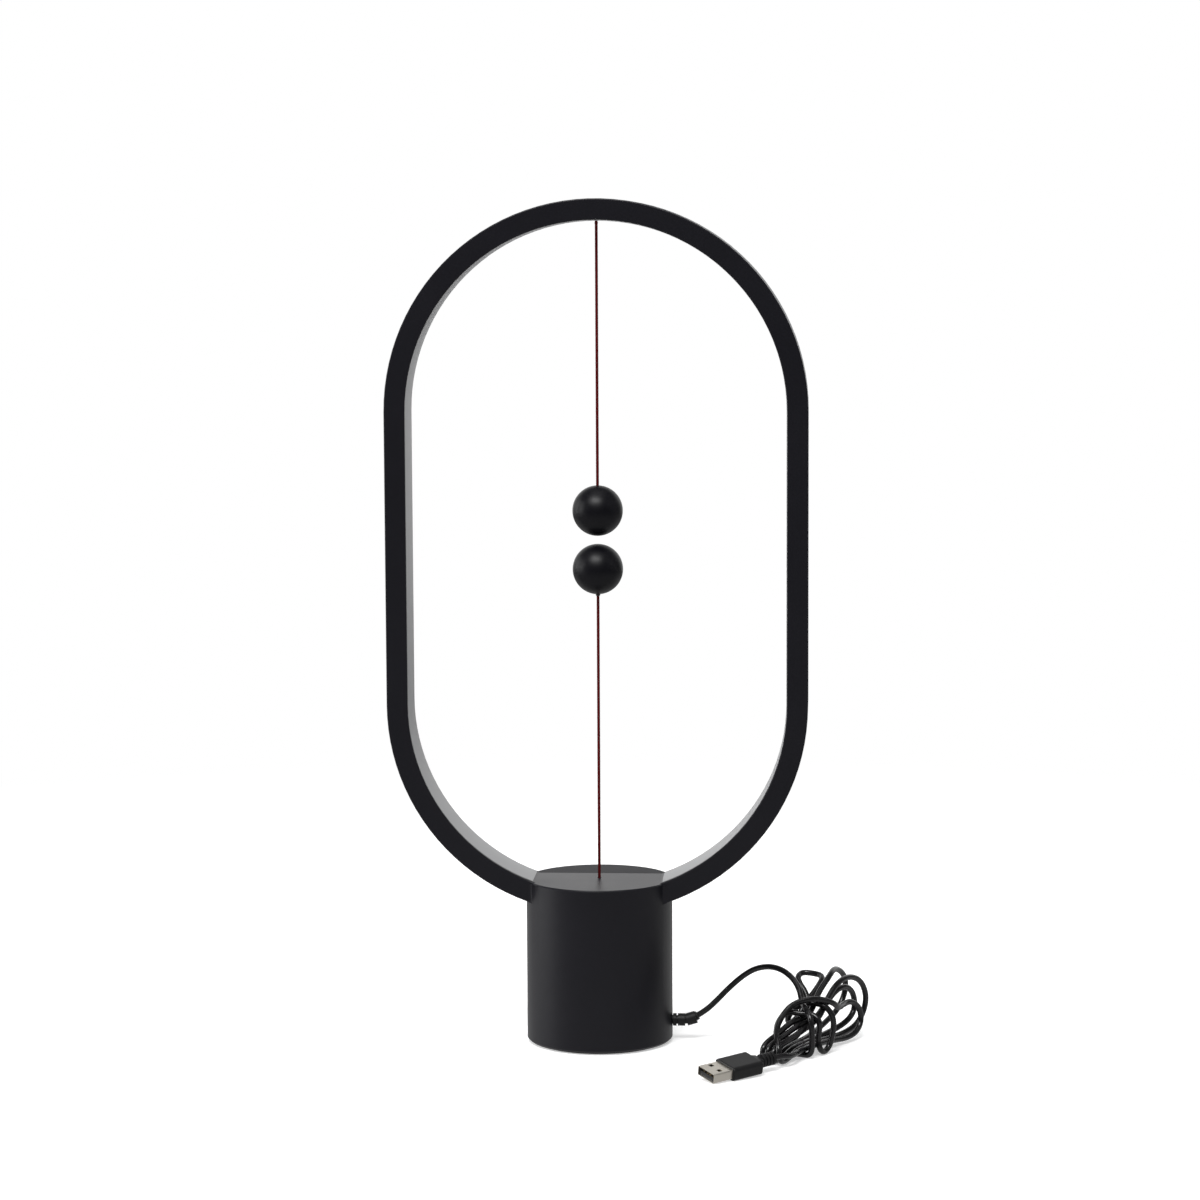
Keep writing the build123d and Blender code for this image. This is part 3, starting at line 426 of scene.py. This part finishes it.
def spline(name, points, diameter=None, resolution=SPLINE_STEPS):
    """Curve with the route's points as its control points; round when it has a diameter."""
    data = bpy.data.curves.new(name, "CURVE")
    data.dimensions = "3D"
    data.resolution_u = resolution
    line = data.splines.new("NURBS")
    line.points.add(len(points) - 1)
    for point, place in zip(line.points, points):
        point.co = (*place, 1)
    line.use_endpoint_u = True
    line.order_u = 3
    if diameter:
        data.bevel_depth = diameter / 2
        data.bevel_resolution = LEAD_BEVEL
        data.use_fill_caps = True
    made = bpy.data.objects.new(name, data)
    bpy.context.scene.collection.objects.link(made)
    return made


def read_spline(points, resolution=SPLINE_STEPS):
    """Points along the smooth line that the control points give."""
    line = spline("line_to_read", points, resolution=resolution)
    mesh = bpy.data.meshes.new_from_object(line)
    read = [v.co.copy() for v in mesh.vertices]
    bpy.data.objects.remove(line)
    bpy.data.meshes.remove(mesh)
    return read


def tube(line, radius, sides, closed=False):
    """Points and faces of a round tube that follows a line."""
    count = len(line)
    points, faces = [], []
    side = None
    for n, here in enumerate(line):
        after = line[(n + 1) % count] if closed else line[min(n + 1, count - 1)]
        before = line[n - 1] if closed else line[max(n - 1, 0)]
        along = (after - before).normalized()
        side = along.orthogonal() if side is None else side - along * side.dot(along)
        side.normalize()
        other = along.cross(side)
        points += [here + radius * (cos(2 * pi * k / sides) * side + sin(2 * pi * k / sides) * other)
                   for k in range(sides)]
    for n in range(count if closed else count - 1):
        low, high = n * sides, (n + 1) % count * sides
        faces += [(low + k, low + (k + 1) % sides, high + (k + 1) % sides, high + k) for k in range(sides)]
    if not closed:
        faces.append(tuple(reversed(range(sides))))
        faces.append(tuple(range((count - 1) * sides, count * sides)))
    return points, faces


def twisted(name, line, diameter, strands, lay):
    """String of strands twisted round a straight upright line."""
    lean = 1 / sin(pi / strands)
    strand = diameter / 2 / (1 + lean)
    points, faces = [], []
    for number in range(strands):
        around = []
        for here in line:
            angle = 2 * pi * (here.z / lay + number / strands)
            around.append(here + strand * lean * Vector((cos(angle), sin(angle), 0)))
        more, walls = tube(around, strand, THREAD_SIDES)
        faces += [tuple(k + len(points) for k in face) for face in walls]
        points += more
    return mesh_piece(name, points, faces, THREAD_SHARP)


def knot(name, centre, width, thread):
    """Small overhand knot; the thread's middle follows a trefoil."""
    line = []
    for n in range(KNOT_STEPS):
        t = 2 * pi * n / KNOT_STEPS
        line.append(Vector((sin(t) + 2 * sin(2 * t), sin(3 * t) * TREFOIL_DEPTH, cos(t) - 2 * cos(2 * t))))
    scale = (width - thread) / TREFOIL_WIDTH
    points, faces = tube([centre + scale * p for p in line], thread / 2, THREAD_SIDES, closed=True)
    return mesh_piece(name, points, faces, THREAD_SHARP)


# The lead's way, in millimetres. Its points are the route's own, moved to where the photograph
# shows them, and stay within 10 mm of the CAD tube. In the bundle a point is (along, across, up) from
# the waist. At each end the lead starts a little inside its fitting and leaves it straight.

RELIEF_END = Vector((47.1, 0.0, 12.1))
RELIEF_HEADING = Vector((2.4, 0.0, 1.4)).normalized()
RELIEF_INSIDE, RELIEF_STRAIGHT = 2, 4
LEAD_ARCH = (
    (55.3, 1.0, 18.2), (61.6, 2.5, 24.6), (68.0, 3.1, 30.4), (74.6, 1.6, 34.9), (81.6, -2.6, 37.0),
    (87.8, -7.4, 36.4), (92.8, -12.6, 33.6), (96.2, -17.8, 29.4),
)
HANK_WAIST = Vector((96.5, -24.5, 0.0))
HANK_HEADING = radians(62.0)
HANK_U = Vector((cos(HANK_HEADING), sin(HANK_HEADING), 0))
HANK_V = Vector((sin(HANK_HEADING), -cos(HANK_HEADING), 0))
# Down the front, under, up behind and over, twice
WRAP_POINTS = (
    (1.7, 0.2, 23.5), (-4.6, 6.1, 22.2), (-7.8, 10.2, 18.7), (-8.0, 10.9, 9.9), (-8.1, 10.6, 1.5),
    (-7.8, 4.0, 1.5), (-7.6, -4.0, 1.4), (-7.7, -7.6, 2.4), (-7.4, -8.8, 6.6), (-7.4, -8.8, 10.6),
    (-6.8, -8.2, 15.4), (-5.4, -4.2, 20.8), (-2.6, 1.6, 19.5), (-1.1, 7.1, 19.9), (-1.3, 11.8, 16.7),
    (-0.6, 9.8, 7.9), (-1.4, 11.4, 3.2), (2.7, 11.6, 1.0), (6.8, 12.1, 3.2), (7.3, 13.3, 7.6),
    (8.5, 13.8, 14.4), (7.6, 12.4, 20.1), (6.4, 7.2, 23.6), (3.8, -1.2, 23.0), (3.0, -6.6, 18.4),
    (3.2, -8.8, 14.0), (6.8, -8.6, 12.0), (10.8, -7.0, 14.4),
)
# One row for each loop's far end, from the waist's top round to its foot
FAR_ENDS = (
    (
        (16.0, -5.0, 21.0), (26.0, -3.5, 27.5), (33.6, -5.5, 30.2), (35.0, -11.5, 30.6), (33.5, -17.6, 30.8),
        (26.0, -16.0, 29.0), (23.0, -7.8, 22.0), (17.0, -5.8, 14.0), (9.5, -5.4, 6.1), (-8.5, -4.3, 4.7),
    ),
    (
        (3.0, 3.3, 17.0), (12.8, 2.7, 26.7), (21.4, 3.8, 32.8), (34.2, 0.5, 35.2), (46.0, -0.2, 29.0),
        (49.5, -1.6, 20.5), (44.0, -2.6, 12.5), (32.0, -3.4, 8.0), (12.1, -2.0, 4.9), (-8.5, -1.3, 4.7),
    ),
    (
        (3.1, 5.7, 15.5), (13.9, 5.3, 20.0), (27.0, 4.4, 25.4), (37.5, 4.8, 26.0), (45.5, 5.0, 20.5),
        (46.0, 5.2, 11.5), (37.0, 3.6, 6.5), (14.0, 1.6, 4.6), (-8.6, 1.7, 4.9),
    ),
    (
        (3.2, 8.6, 17.0), (13.7, 6.8, 23.5), (25.0, 6.6, 29.9), (37.5, 6.8, 31.0), (47.8, 8.0, 26.6),
        (52.4, 8.6, 16.8), (47.5, 7.0, 6.2), (35.0, 4.8, 2.6), (12.0, 4.7, 4.2), (-8.6, 4.7, 4.9),
    ),
    (
        (2.2, 6.6, 26.8), (9.6, 12.5, 24.0), (17.2, 11.6, 19.5), (27.0, 8.8, 19.2), (34.6, 9.2, 19.6),
        (41.2, 10.6, 14.8), (41.4, 11.2, 7.0), (33.0, 10.2, 2.0), (12.1, 7.7, 4.1), (-8.5, 7.7, 4.8),
    ),
)
# One row for each fold at the near end, from its foot up and back to the waist
NEAR_ENDS = (
    (
        (-18.0, -4.8, 2.4), (-23.6, -5.2, 1.3), (-27.4, -5.1, 2.9), (-27.2, -5.0, 7.0), (-23.6, -4.8, 9.4),
        (-16.0, -3.4, 11.6), (-7.9, -0.3, 16.6),
    ),
    (
        (-18.2, -1.6, 2.4), (-24.4, -2.0, 1.3), (-28.7, -1.9, 2.6), (-28.5, -1.8, 7.2), (-24.4, -1.6, 9.0),
        (-17.0, -0.2, 10.8), (-8.1, 3.2, 15.3),
    ),
    (
        (-18.0, 1.4, 2.3), (-24.8, 1.3, 1.3), (-29.1, 1.4, 2.5), (-28.9, 1.4, 6.8), (-25.0, 1.5, 8.5),
        (-18.1, 3.1, 9.8), (-8.1, 6.4, 13.5),
    ),
    (
        (-17.1, 4.5, 2.5), (-25.5, 4.7, 1.2), (-29.7, 5.1, 3.6), (-28.9, 4.3, 9.8), (-20.0, -2.0, 14.6),
        (-12.5, -3.4, 19.2), (-5.5, -0.9, 24.9),
    ),
)
TAIL_BENDS = ((-16.1, 7.4, 4.5), (-21.0, 8.5, 4.6), (-26.8, 9.0, 4.9))
BOOT_END = Vector((84.70, -59.12, 5.81))
PLUG_AXIS = Vector((0.765, 0.6419, 0.0523))
BOOT_INSIDE, BOOT_STRAIGHT = 3, 5


def hank_point(along, side, height):
    """Place measured from the bundle's waist along its length, across it and up."""
    return HANK_WAIST + HANK_U * along + HANK_V * side + Vector((0, 0, height))


def lead_points():
    """Control points of the whole lead in metres, from inside the strain relief to inside the plug's boot."""
    made = [RELIEF_END - RELIEF_HEADING * RELIEF_INSIDE, RELIEF_END + RELIEF_HEADING * RELIEF_STRAIGHT]
    made += [Vector(p) for p in LEAD_ARCH]
    made += [hank_point(*p) for p in WRAP_POINTS]
    for far, near in zip(FAR_ENDS, (*NEAR_ENDS, TAIL_BENDS)):
        made += [hank_point(*p) for p in (*far, *near)]
    made += [BOOT_END + PLUG_AXIS * BOOT_STRAIGHT, BOOT_END - PLUG_AXIS * BOOT_INSIDE]
    return [p * MM for p in made]


# Operators


class LAMP_OT_studio(bpy.types.Operator):
    """Camera at the photograph's place, soft lights, white surroundings and a pale floor"""

    bl_idname = "lamp.studio"
    bl_label = "Studio"

    def execute(self, context):
        studio = context.scene.lamp_studio
        self.add_camera(context, studio)
        self.light_world(context, studio)
        self.add_lights(context)
        self.add_floor(studio)
        context.scene.view_settings.view_transform = "Standard"
        return {"FINISHED"}

    def add_camera(self, context, studio):
        """Camera that looks along the photograph's view."""
        yaw, pitch, roll = studio.yaw, studio.pitch, studio.roll
        ahead = Vector((-sin(yaw) * cos(pitch), cos(yaw) * cos(pitch), -sin(pitch)))
        right = Vector((cos(yaw), sin(yaw), 0))
        up = right.cross(ahead)
        across_view = cos(roll) * right + sin(roll) * up
        up_view = cos(roll) * up - sin(roll) * right
        axes = Matrix((across_view, up_view, -ahead)).transposed()
        data = bpy.data.cameras.new("photo_camera")
        data.lens = studio.lens
        data.sensor_width = FILM_WIDTH
        camera = bpy.data.objects.new("photo_camera", data)
        camera.matrix_world = Matrix.Translation(studio.eye) @ axes.to_4x4()
        context.scene.collection.objects.link(camera)
        context.scene.camera = camera

    def light_world(self, context, studio):
        """White world for the camera, weaker as light on the lamp and weaker again in reflections."""
        world = bpy.data.worlds.new("white_studio")
        world.use_nodes = True
        context.scene.world = world
        tree = world.node_tree
        seen, glossy = rays(tree)
        sky = tree.nodes["Background"]
        sky.inputs["Color"].default_value = (1, 1, 1, 1)
        strength = combined(tree, "MULTIPLY_ADD", seen, 1 - studio.ambient, studio.ambient)
        dimmed = combined(tree, "MULTIPLY_ADD", glossy, studio.mirrored - studio.ambient, strength)
        tree.links.new(dimmed, sky.inputs["Strength"])

    def add_lights(self, context):
        """Soft boxes that only light and don't show."""
        for name, place, target, width, height, power in LIGHTS:
            data = bpy.data.lights.new(name, "AREA")
            data.shape = "RECTANGLE"
            data.size, data.size_y = width, height
            data.energy = power
            lamp = bpy.data.objects.new(name, data)
            lamp.location = place
            lamp.rotation_euler = (Vector(target) - Vector(place)).to_track_quat("-Z", "Y").to_euler()
            lamp.visible_camera = False
            context.scene.collection.objects.link(lamp)

    def add_floor(self, studio):
        """Round pale floor under the lamp."""
        points, faces = [(0, 0, 0)], []
        for n in range(FLOOR_SIDES):
            angle = 2 * pi * n / FLOOR_SIDES
            points.append((studio.floor_radius * cos(angle), studio.floor_radius * sin(angle), 0))
            faces.append((0, 1 + n, 1 + (n + 1) % FLOOR_SIDES))
        floor = mesh_piece("pale_floor", points, faces)
        floor.data.materials.append(self.floor_material(studio))

    def floor_material(self, studio):
        """Matt floor that keeps the lamp's shadow near it and is plain white further off."""
        material = bpy.data.materials.new("pale_floor")
        material.use_nodes = True
        tree = material.node_tree
        matt = tree.nodes["Principled BSDF"]
        matt.inputs["Base Color"].default_value = FLOOR_TONE
        matt.inputs["Roughness"].default_value = 0.9
        matt.inputs["Specular IOR Level"].default_value = 0.1
        seen, glossy = rays(tree)
        place = add_node(tree, "TexCoord").outputs["Object"]
        away = add_node(tree, "VectorMath", {0: place}, operation="LENGTH").outputs["Value"]
        far = combined(tree, "MULTIPLY", spread(tree, away, *WHITE_FADE), seen)
        glow = add_node(tree, "Emission", {"Strength": combined(tree, "MULTIPLY", seen, studio.lift)})
        near = add_node(tree, "AddShader", {0: matt.outputs[0], 1: glow.outputs[0]})
        white = add_node(tree, "Emission", {"Strength": 1.0})
        mixed = add_node(tree, "MixShader", {0: far, 1: near.outputs[0], 2: white.outputs[0]})
        mirrored = spread(tree, away, *MIRROR_FADE, studio.floor_mirrored, studio.mirrored)
        dim = add_node(tree, "Emission", {"Strength": mirrored})
        by_ray = add_node(tree, "MixShader", {0: glossy, 1: mixed.outputs[0], 2: dim.outputs[0]})
        tree.links.new(by_ray.outputs[0], tree.nodes["Material Output"].inputs["Surface"])
        return material


class LAMP_OT_lead(bpy.types.Operator):
    """USB lead as one smooth cord: the arch, the bundle with its wraps and the tail, with its plug"""

    bl_idname = "lamp.lead"
    bl_label = "USB Lead"

    def execute(self, context):
        sizes = context.scene.lamp_cord
        colours = context.scene.lamp_colours
        points = lead_points()
        lead = spline("usb_cord", points, sizes.diameter)
        jacket = finish("cord_jacket", colours.cord, tone=0.3, grain=0.5, gloss=0.22, gloss_change=0.08,
                        bump=0.06, dust=0.02, Specular_IOR_Level=0.5)
        own(lead, jacket, "lamp")
        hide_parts("usb_lead", "usb_hank", "usb_tail")
        grip = finish("plug_grip_plastic", (0.0065, 0.0065, 0.007), tone=0.3, grain=0.35, gloss=0.48,
                      gloss_change=0.1, bump=0.15, edge=0.1, edge_radius=0.25, dust=0.02,
                      Specular_IOR_Level=0.3)
        dress(grip, "cord_black", "plug_grip", "cable_strain_relief", "inner_cable")
        nickel = finish("plug_nickel", colours.plug_metal, tone=0.2, grain=0.6, gloss=0.34, gloss_change=0.1,
                        bump=0.02, Metallic=1.0)
        dress(nickel, "magnet_nickel", "plug_shell")
        insulator = finish("plug_insulator_plastic", (0.012, 0.012, 0.013), gloss=0.4, bump=0.1)
        dress(insulator, "component_black", "plug_insulator")
        gold = finish("contact_gold", (0.42, 0.31, 0.16), grain=0.2, gloss=0.4, bump=0.05, Metallic=1.0)
        dress(gold, "gold", "plug_contacts")
        return {"FINISHED"}


class LAMP_OT_strings(bpy.types.Operator):
    """The two twisted strings, each with its knots and its end in the ring or in the base"""

    bl_idname = "lamp.strings"
    bl_label = "Strings"

    def execute(self, context):
        sizes = context.scene.lamp_strings
        colour = tuple(context.scene.lamp_colours.strings)
        thread = finish("string_thread", colour, tone=0.5, grain=0.12, gloss=0.8, gloss_change=0.15, bump=0.4,
                        Specular_IOR_Level=0.12)
        self.add_upper(sizes, thread)
        self.add_lower(sizes, thread)
        return {"FINISHED"}

    def add_upper(self, sizes, thread):
        """Upper string from the ring's knot down into its ball, and its thread above the knot."""
        ball_end = Vector((0, 0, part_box("upper_string")[0].z))
        ring_knot = middle_of("upper_string_knot")
        knot_thread = sizes.diameter * KNOT_THREAD_SHARE
        small_place = Vector((0, 0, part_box("upper_ball")[1].z + sizes.small_knot_rise))
        small = knot("upper_string_small_knot", small_place, sizes.knot_width * SMALL_KNOT_SHARE, knot_thread)
        own(small, thread, "upper_pendulum")
        strands = self.string("upper_string_strands", ball_end, ring_knot, sizes)
        own(strands, thread, "upper_pendulum")
        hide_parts("upper_string")
        top = knot("upper_string_ring_knot", ring_knot, sizes.knot_width, knot_thread)
        own(top, thread, "upper_string_top")
        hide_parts("upper_string_knot")
        stub_top = Vector((0, 0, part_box("upper_string_knot")[1].z + STUB_RISE))
        stub = self.string("upper_string_stub_strands", ring_knot, stub_top, sizes)
        own(stub, thread, "lamp")
        self.declare(strands, ring_knot, ball_end, [small, top, stub], sizes)

    def add_lower(self, sizes, thread):
        """Lower string from its bend at the base's top up into its ball, and its root in the base."""
        ball_end = Vector((0, 0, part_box("lower_string")[1].z))
        bend = middle_of("lower_string_bend")
        strands = self.string("lower_string_strands", bend, ball_end, sizes)
        own(strands, thread, "lower_pendulum")
        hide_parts("lower_string")
        turn = knot("lower_string_turn", bend, sizes.diameter * TURN_WIDTH_SHARE,
                    sizes.diameter * TURN_THREAD_SHARE)
        own(turn, thread, "lower_string_foot")
        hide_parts("lower_string_bend")
        root_end = Vector((0, 0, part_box("lower_string_root")[0].z + ROOT_GAP))
        root = self.string("lower_string_root_strands", root_end, bend, sizes)
        own(root, thread, "pull_switch")
        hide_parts("lower_string_root")
        self.declare(strands, bend, ball_end, [turn, root], sizes)

    def declare(self, strands, exit, end, others, sizes):
        """Takes one taut string, from its anchor to its ball, and does nothing with it."""

    def string(self, name, low, high, sizes):
        """Strands from one height to another."""
        turns = (high.z - low.z) / sizes.lay_length
        steps = max(LEAST_STEPS, round(turns * STEPS_PER_TURN))
        line = read_spline([low, (low + high) / 2, high], resolution=steps)
        return twisted(name, line, sizes.diameter * sizes.swell, sizes.strands, sizes.lay_length)


class LAMP_OT_balls(bpy.types.Operator):
    """The two balls with the seam of the magnet's plug and the string's hole"""

    bl_idname = "lamp.balls"
    bl_label = "Balls"

    def execute(self, context):
        sizes = context.scene.lamp_balls
        colour = tuple(context.scene.lamp_colours.balls)
        lacquer = finish("ball_lacquer", colour, tone=0.35, grain=0.45, gloss=0.4, gloss_change=0.05,
                         bump=0.1, dust=0.005, Specular_IOR_Level=0.25)
        points, faces = turned(self.profile(sizes), BALL_SIDES)
        for name, facing, body in (("upper_ball", -1, "upper_pendulum"), ("lower_ball", 1, "lower_pendulum")):
            centre = self.centre(name, facing, sizes)
            placed_points = [centre + Vector((x, facing * y, facing * z)) for x, y, z in points]
            ball = mesh_piece(name + "_turned", placed_points, faces)
            own(ball, lacquer, body)
            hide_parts(name, name + "_plug")
        magnet = finish("magnet_plating", (0.66, 0.65, 0.62), grain=0.4, gloss=0.25, bump=0.05,
                        Metallic=1.0)
        dress(magnet, "magnet_nickel", "upper_magnet", "lower_magnet")
        blackened = finish("ferrule_blackened", (0.012, 0.011, 0.010), grain=0.2, gloss=0.38, bump=0.08,
                           edge=0.2, edge_radius=0.1)
        top = Vector((0, 0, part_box("lower_ferrule")[1].z))
        points, faces = turned(self.ferrule_profile(sizes), FERRULE_SIDES)
        ferrule = mesh_piece("lower_ferrule_turned", [top + Vector(p) for p in points], faces)
        own(ferrule, blackened, "lower_pendulum")
        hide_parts("lower_ferrule")
        return {"FINISHED"}

    def centre(self, name, facing, sizes):
        """A ball's centre, from the domed plug at its pole."""
        low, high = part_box(name + "_plug")
        pole = high.z if facing > 0 else low.z
        return Vector((0, 0, pole - facing * sizes.diameter / 2))

    def ferrule_profile(self, sizes):
        """Half outline of the ferrule, from its lower end up to the ball that it sits under."""
        wide, slim = sizes.ferrule_width / 2, sizes.ferrule_neck / 2
        low = -sizes.ferrule_height
        return [(0, low), (slim, low), (wide - FERRULE_SOFT, low + 2 * FERRULE_SOFT),
                (wide, low + 3 * FERRULE_SOFT), (wide, 0), (0, 0)]

    def profile(self, sizes):
        """Half outline from the back pole, with the string's hole, to the plug at the front pole."""
        radius = sizes.diameter / 2
        hole = sizes.hole_diameter / 2
        rim = hole * HOLE_RIM_SHARE
        seam = sizes.plug_diameter / 2
        half = sizes.seam_width / 2
        hole_end = -radius + sizes.hole_depth
        made = [(0, hole_end), (hole, hole_end), (hole, -sphere_height(radius, rim) + HOLE_EDGE)]
        first = asin(rim / radius)
        last = pi - asin((seam + half) / radius)
        for n in range(BALL_RINGS + 1):
            angle = first + (last - first) * n / BALL_RINGS
            made.append((radius * sin(angle), -radius * cos(angle)))
        seam_floor = sphere_height(radius, seam) - sizes.seam_width
        made += [(seam + half / 2, seam_floor), (seam - half / 2, seam_floor)]
        for n in range(PLUG_RINGS):
            out = (seam - half) * (1 - n / PLUG_RINGS)
            made.append((out, sphere_height(radius, out)))
        return made + [(0, radius)]


class LAMP_OT_housing(bpy.types.Operator):
    """Finishes of the ring, the base, its rear segment and the foot"""

    bl_idname = "lamp.housing"
    bl_label = "Housing"

    def execute(self, context):
        colours = context.scene.lamp_colours
        satin = finish("housing_satin", colours.housing, tone=0.3, grain=0.28, gloss=0.4, gloss_change=0.08,
                       bump=0.12, dust=0.02, Specular_IOR_Level=0.35)
        dress(satin, "black_plastic", "front_housing", "bottom_cover", "upper_string_anchor")
        matt = finish("rear_cover_matt", colours.housing, tone=0.3, grain=0.32, gloss=0.58, gloss_change=0.08,
                      bump=0.16, dust=0.02, Specular_IOR_Level=0.2)
        dress(matt, "black_plastic", "rear_cover")
        foam = finish("foot_foam", (0.02, 0.02, 0.02), tone=0.5, grain=0.6, gloss=0.9, bump=0.8)
        dress(foam, "foam_foot", "foot_pad")
        return {"FINISHED"}


class LAMP_OT_diffuser(bpy.types.Operator):
    """Milky plastic of the strip inside the ring"""

    bl_idname = "lamp.diffuser"
    bl_label = "Diffuser"

    def execute(self, context):
        milk = finish("diffuser_milk", context.scene.lamp_colours.diffuser, tone=0.05, grain=0.35, gloss=0.5,
                      gloss_change=0.08, bump=0.06, Subsurface_Weight=0.25, Subsurface_Scale=1.5 * MM,
                      Subsurface_Radius=(1.0, 1.0, 1.0))
        dress(milk, "diffuser_white", "diffuser")
        return {"FINISHED"}


class LAMP_OT_inside(bpy.types.Operator):
    """Finishes of the switch, the board, the light strip and the ballast inside"""

    bl_idname = "lamp.inside"
    bl_label = "Inner Parts"

    def execute(self, context):
        moulded = finish("inner_moulding", (0.022, 0.022, 0.024), grain=0.3, gloss=0.42, bump=0.15)
        dress(moulded, "component_black", "pull_carrier", "guide_cap", "micro_switch", "driver_components",
              "cable_clamp")
        plated = finish("screw_plating", (0.52, 0.52, 0.54), grain=0.2, gloss=0.34, bump=0.1, edge=0.5,
                        edge_tone=1.3, Metallic=1.0)
        dress(plated, "steel", "board_screws", "base_screws", "clamp_screws")
        spring = finish("spring_wire_steel", (0.58, 0.58, 0.6), grain=0.15, gloss=0.28, bump=0.05,
                        Metallic=1.0)
        dress(spring, "spring_steel", "return_spring", "switch_lever")
        mask = finish("board_mask", (0.015, 0.1, 0.045), grain=0.5, gloss=0.3, bump=0.08, edge=0.3)
        dress(mask, "board_green", "driver_board")
        zinc = finish("ballast_zinc", (0.3, 0.3, 0.31), tone=0.6, grain=1.2, gloss=0.45, bump=0.25, edge=0.4,
                      Metallic=1.0)
        dress(zinc, "ballast_steel", "ballast_weight")
        white = finish("strip_mask", (0.78, 0.78, 0.74), grain=0.4, gloss=0.5, bump=0.05)
        dress(white, "circuit_white", "led_strip")
        phosphor = finish("chip_phosphor", (0.82, 0.66, 0.24), grain=0.2, gloss=0.35, bump=0.1)
        dress(phosphor, "chip_yellow", "led_chips")
        red = finish("wire_jacket", (0.28, 0.02, 0.02), grain=0.4, gloss=0.4, bump=0.1)
        dress(red, "wire_red", "led_wires")
        return {"FINISHED"}


class LAMP_PT_panel(bpy.types.Panel):
    """The lamp's pieces and settings"""

    bl_idname = "LAMP_PT_panel"
    bl_label = "Ring Lamp"
    bl_space_type = "VIEW_3D"
    bl_region_type = "UI"
    bl_category = "Ring Lamp"

    def draw(self, context):
        for operator in OPERATORS:
            self.layout.operator(operator.bl_idname)
        for name in SETTINGS:
            group = getattr(context.scene, name)
            box = self.layout.box()
            for key in group.__annotations__:
                box.prop(group, key)


OPERATORS = (LAMP_OT_studio, LAMP_OT_lead, LAMP_OT_strings, LAMP_OT_balls, LAMP_OT_housing, LAMP_OT_diffuser,
             LAMP_OT_inside)
SETTINGS = {
    "lamp_strings": StringSizes,
    "lamp_balls": BallSizes,
    "lamp_cord": CordSizes,
    "lamp_colours": FinishColours,
    "lamp_studio": StudioSettings,
}


def register():
    """Adds the classes and the scene's settings."""
    for made in (*SETTINGS.values(), *OPERATORS, LAMP_PT_panel):
        bpy.utils.register_class(made)
    for name, group in SETTINGS.items():
        setattr(bpy.types.Scene, name, PointerProperty(type=group))


def unregister():
    """Takes the classes and the scene's settings away."""
    for name in SETTINGS:
        delattr(bpy.types.Scene, name)
    for made in reversed((*SETTINGS.values(), *OPERATORS, LAMP_PT_panel)):
        bpy.utils.unregister_class(made)


def main():
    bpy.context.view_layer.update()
    register()
    for operator in OPERATORS:
        group, name = operator.bl_idname.split(".")
        getattr(getattr(bpy.ops, group), name)()


if __name__ == "__main__":
    main()
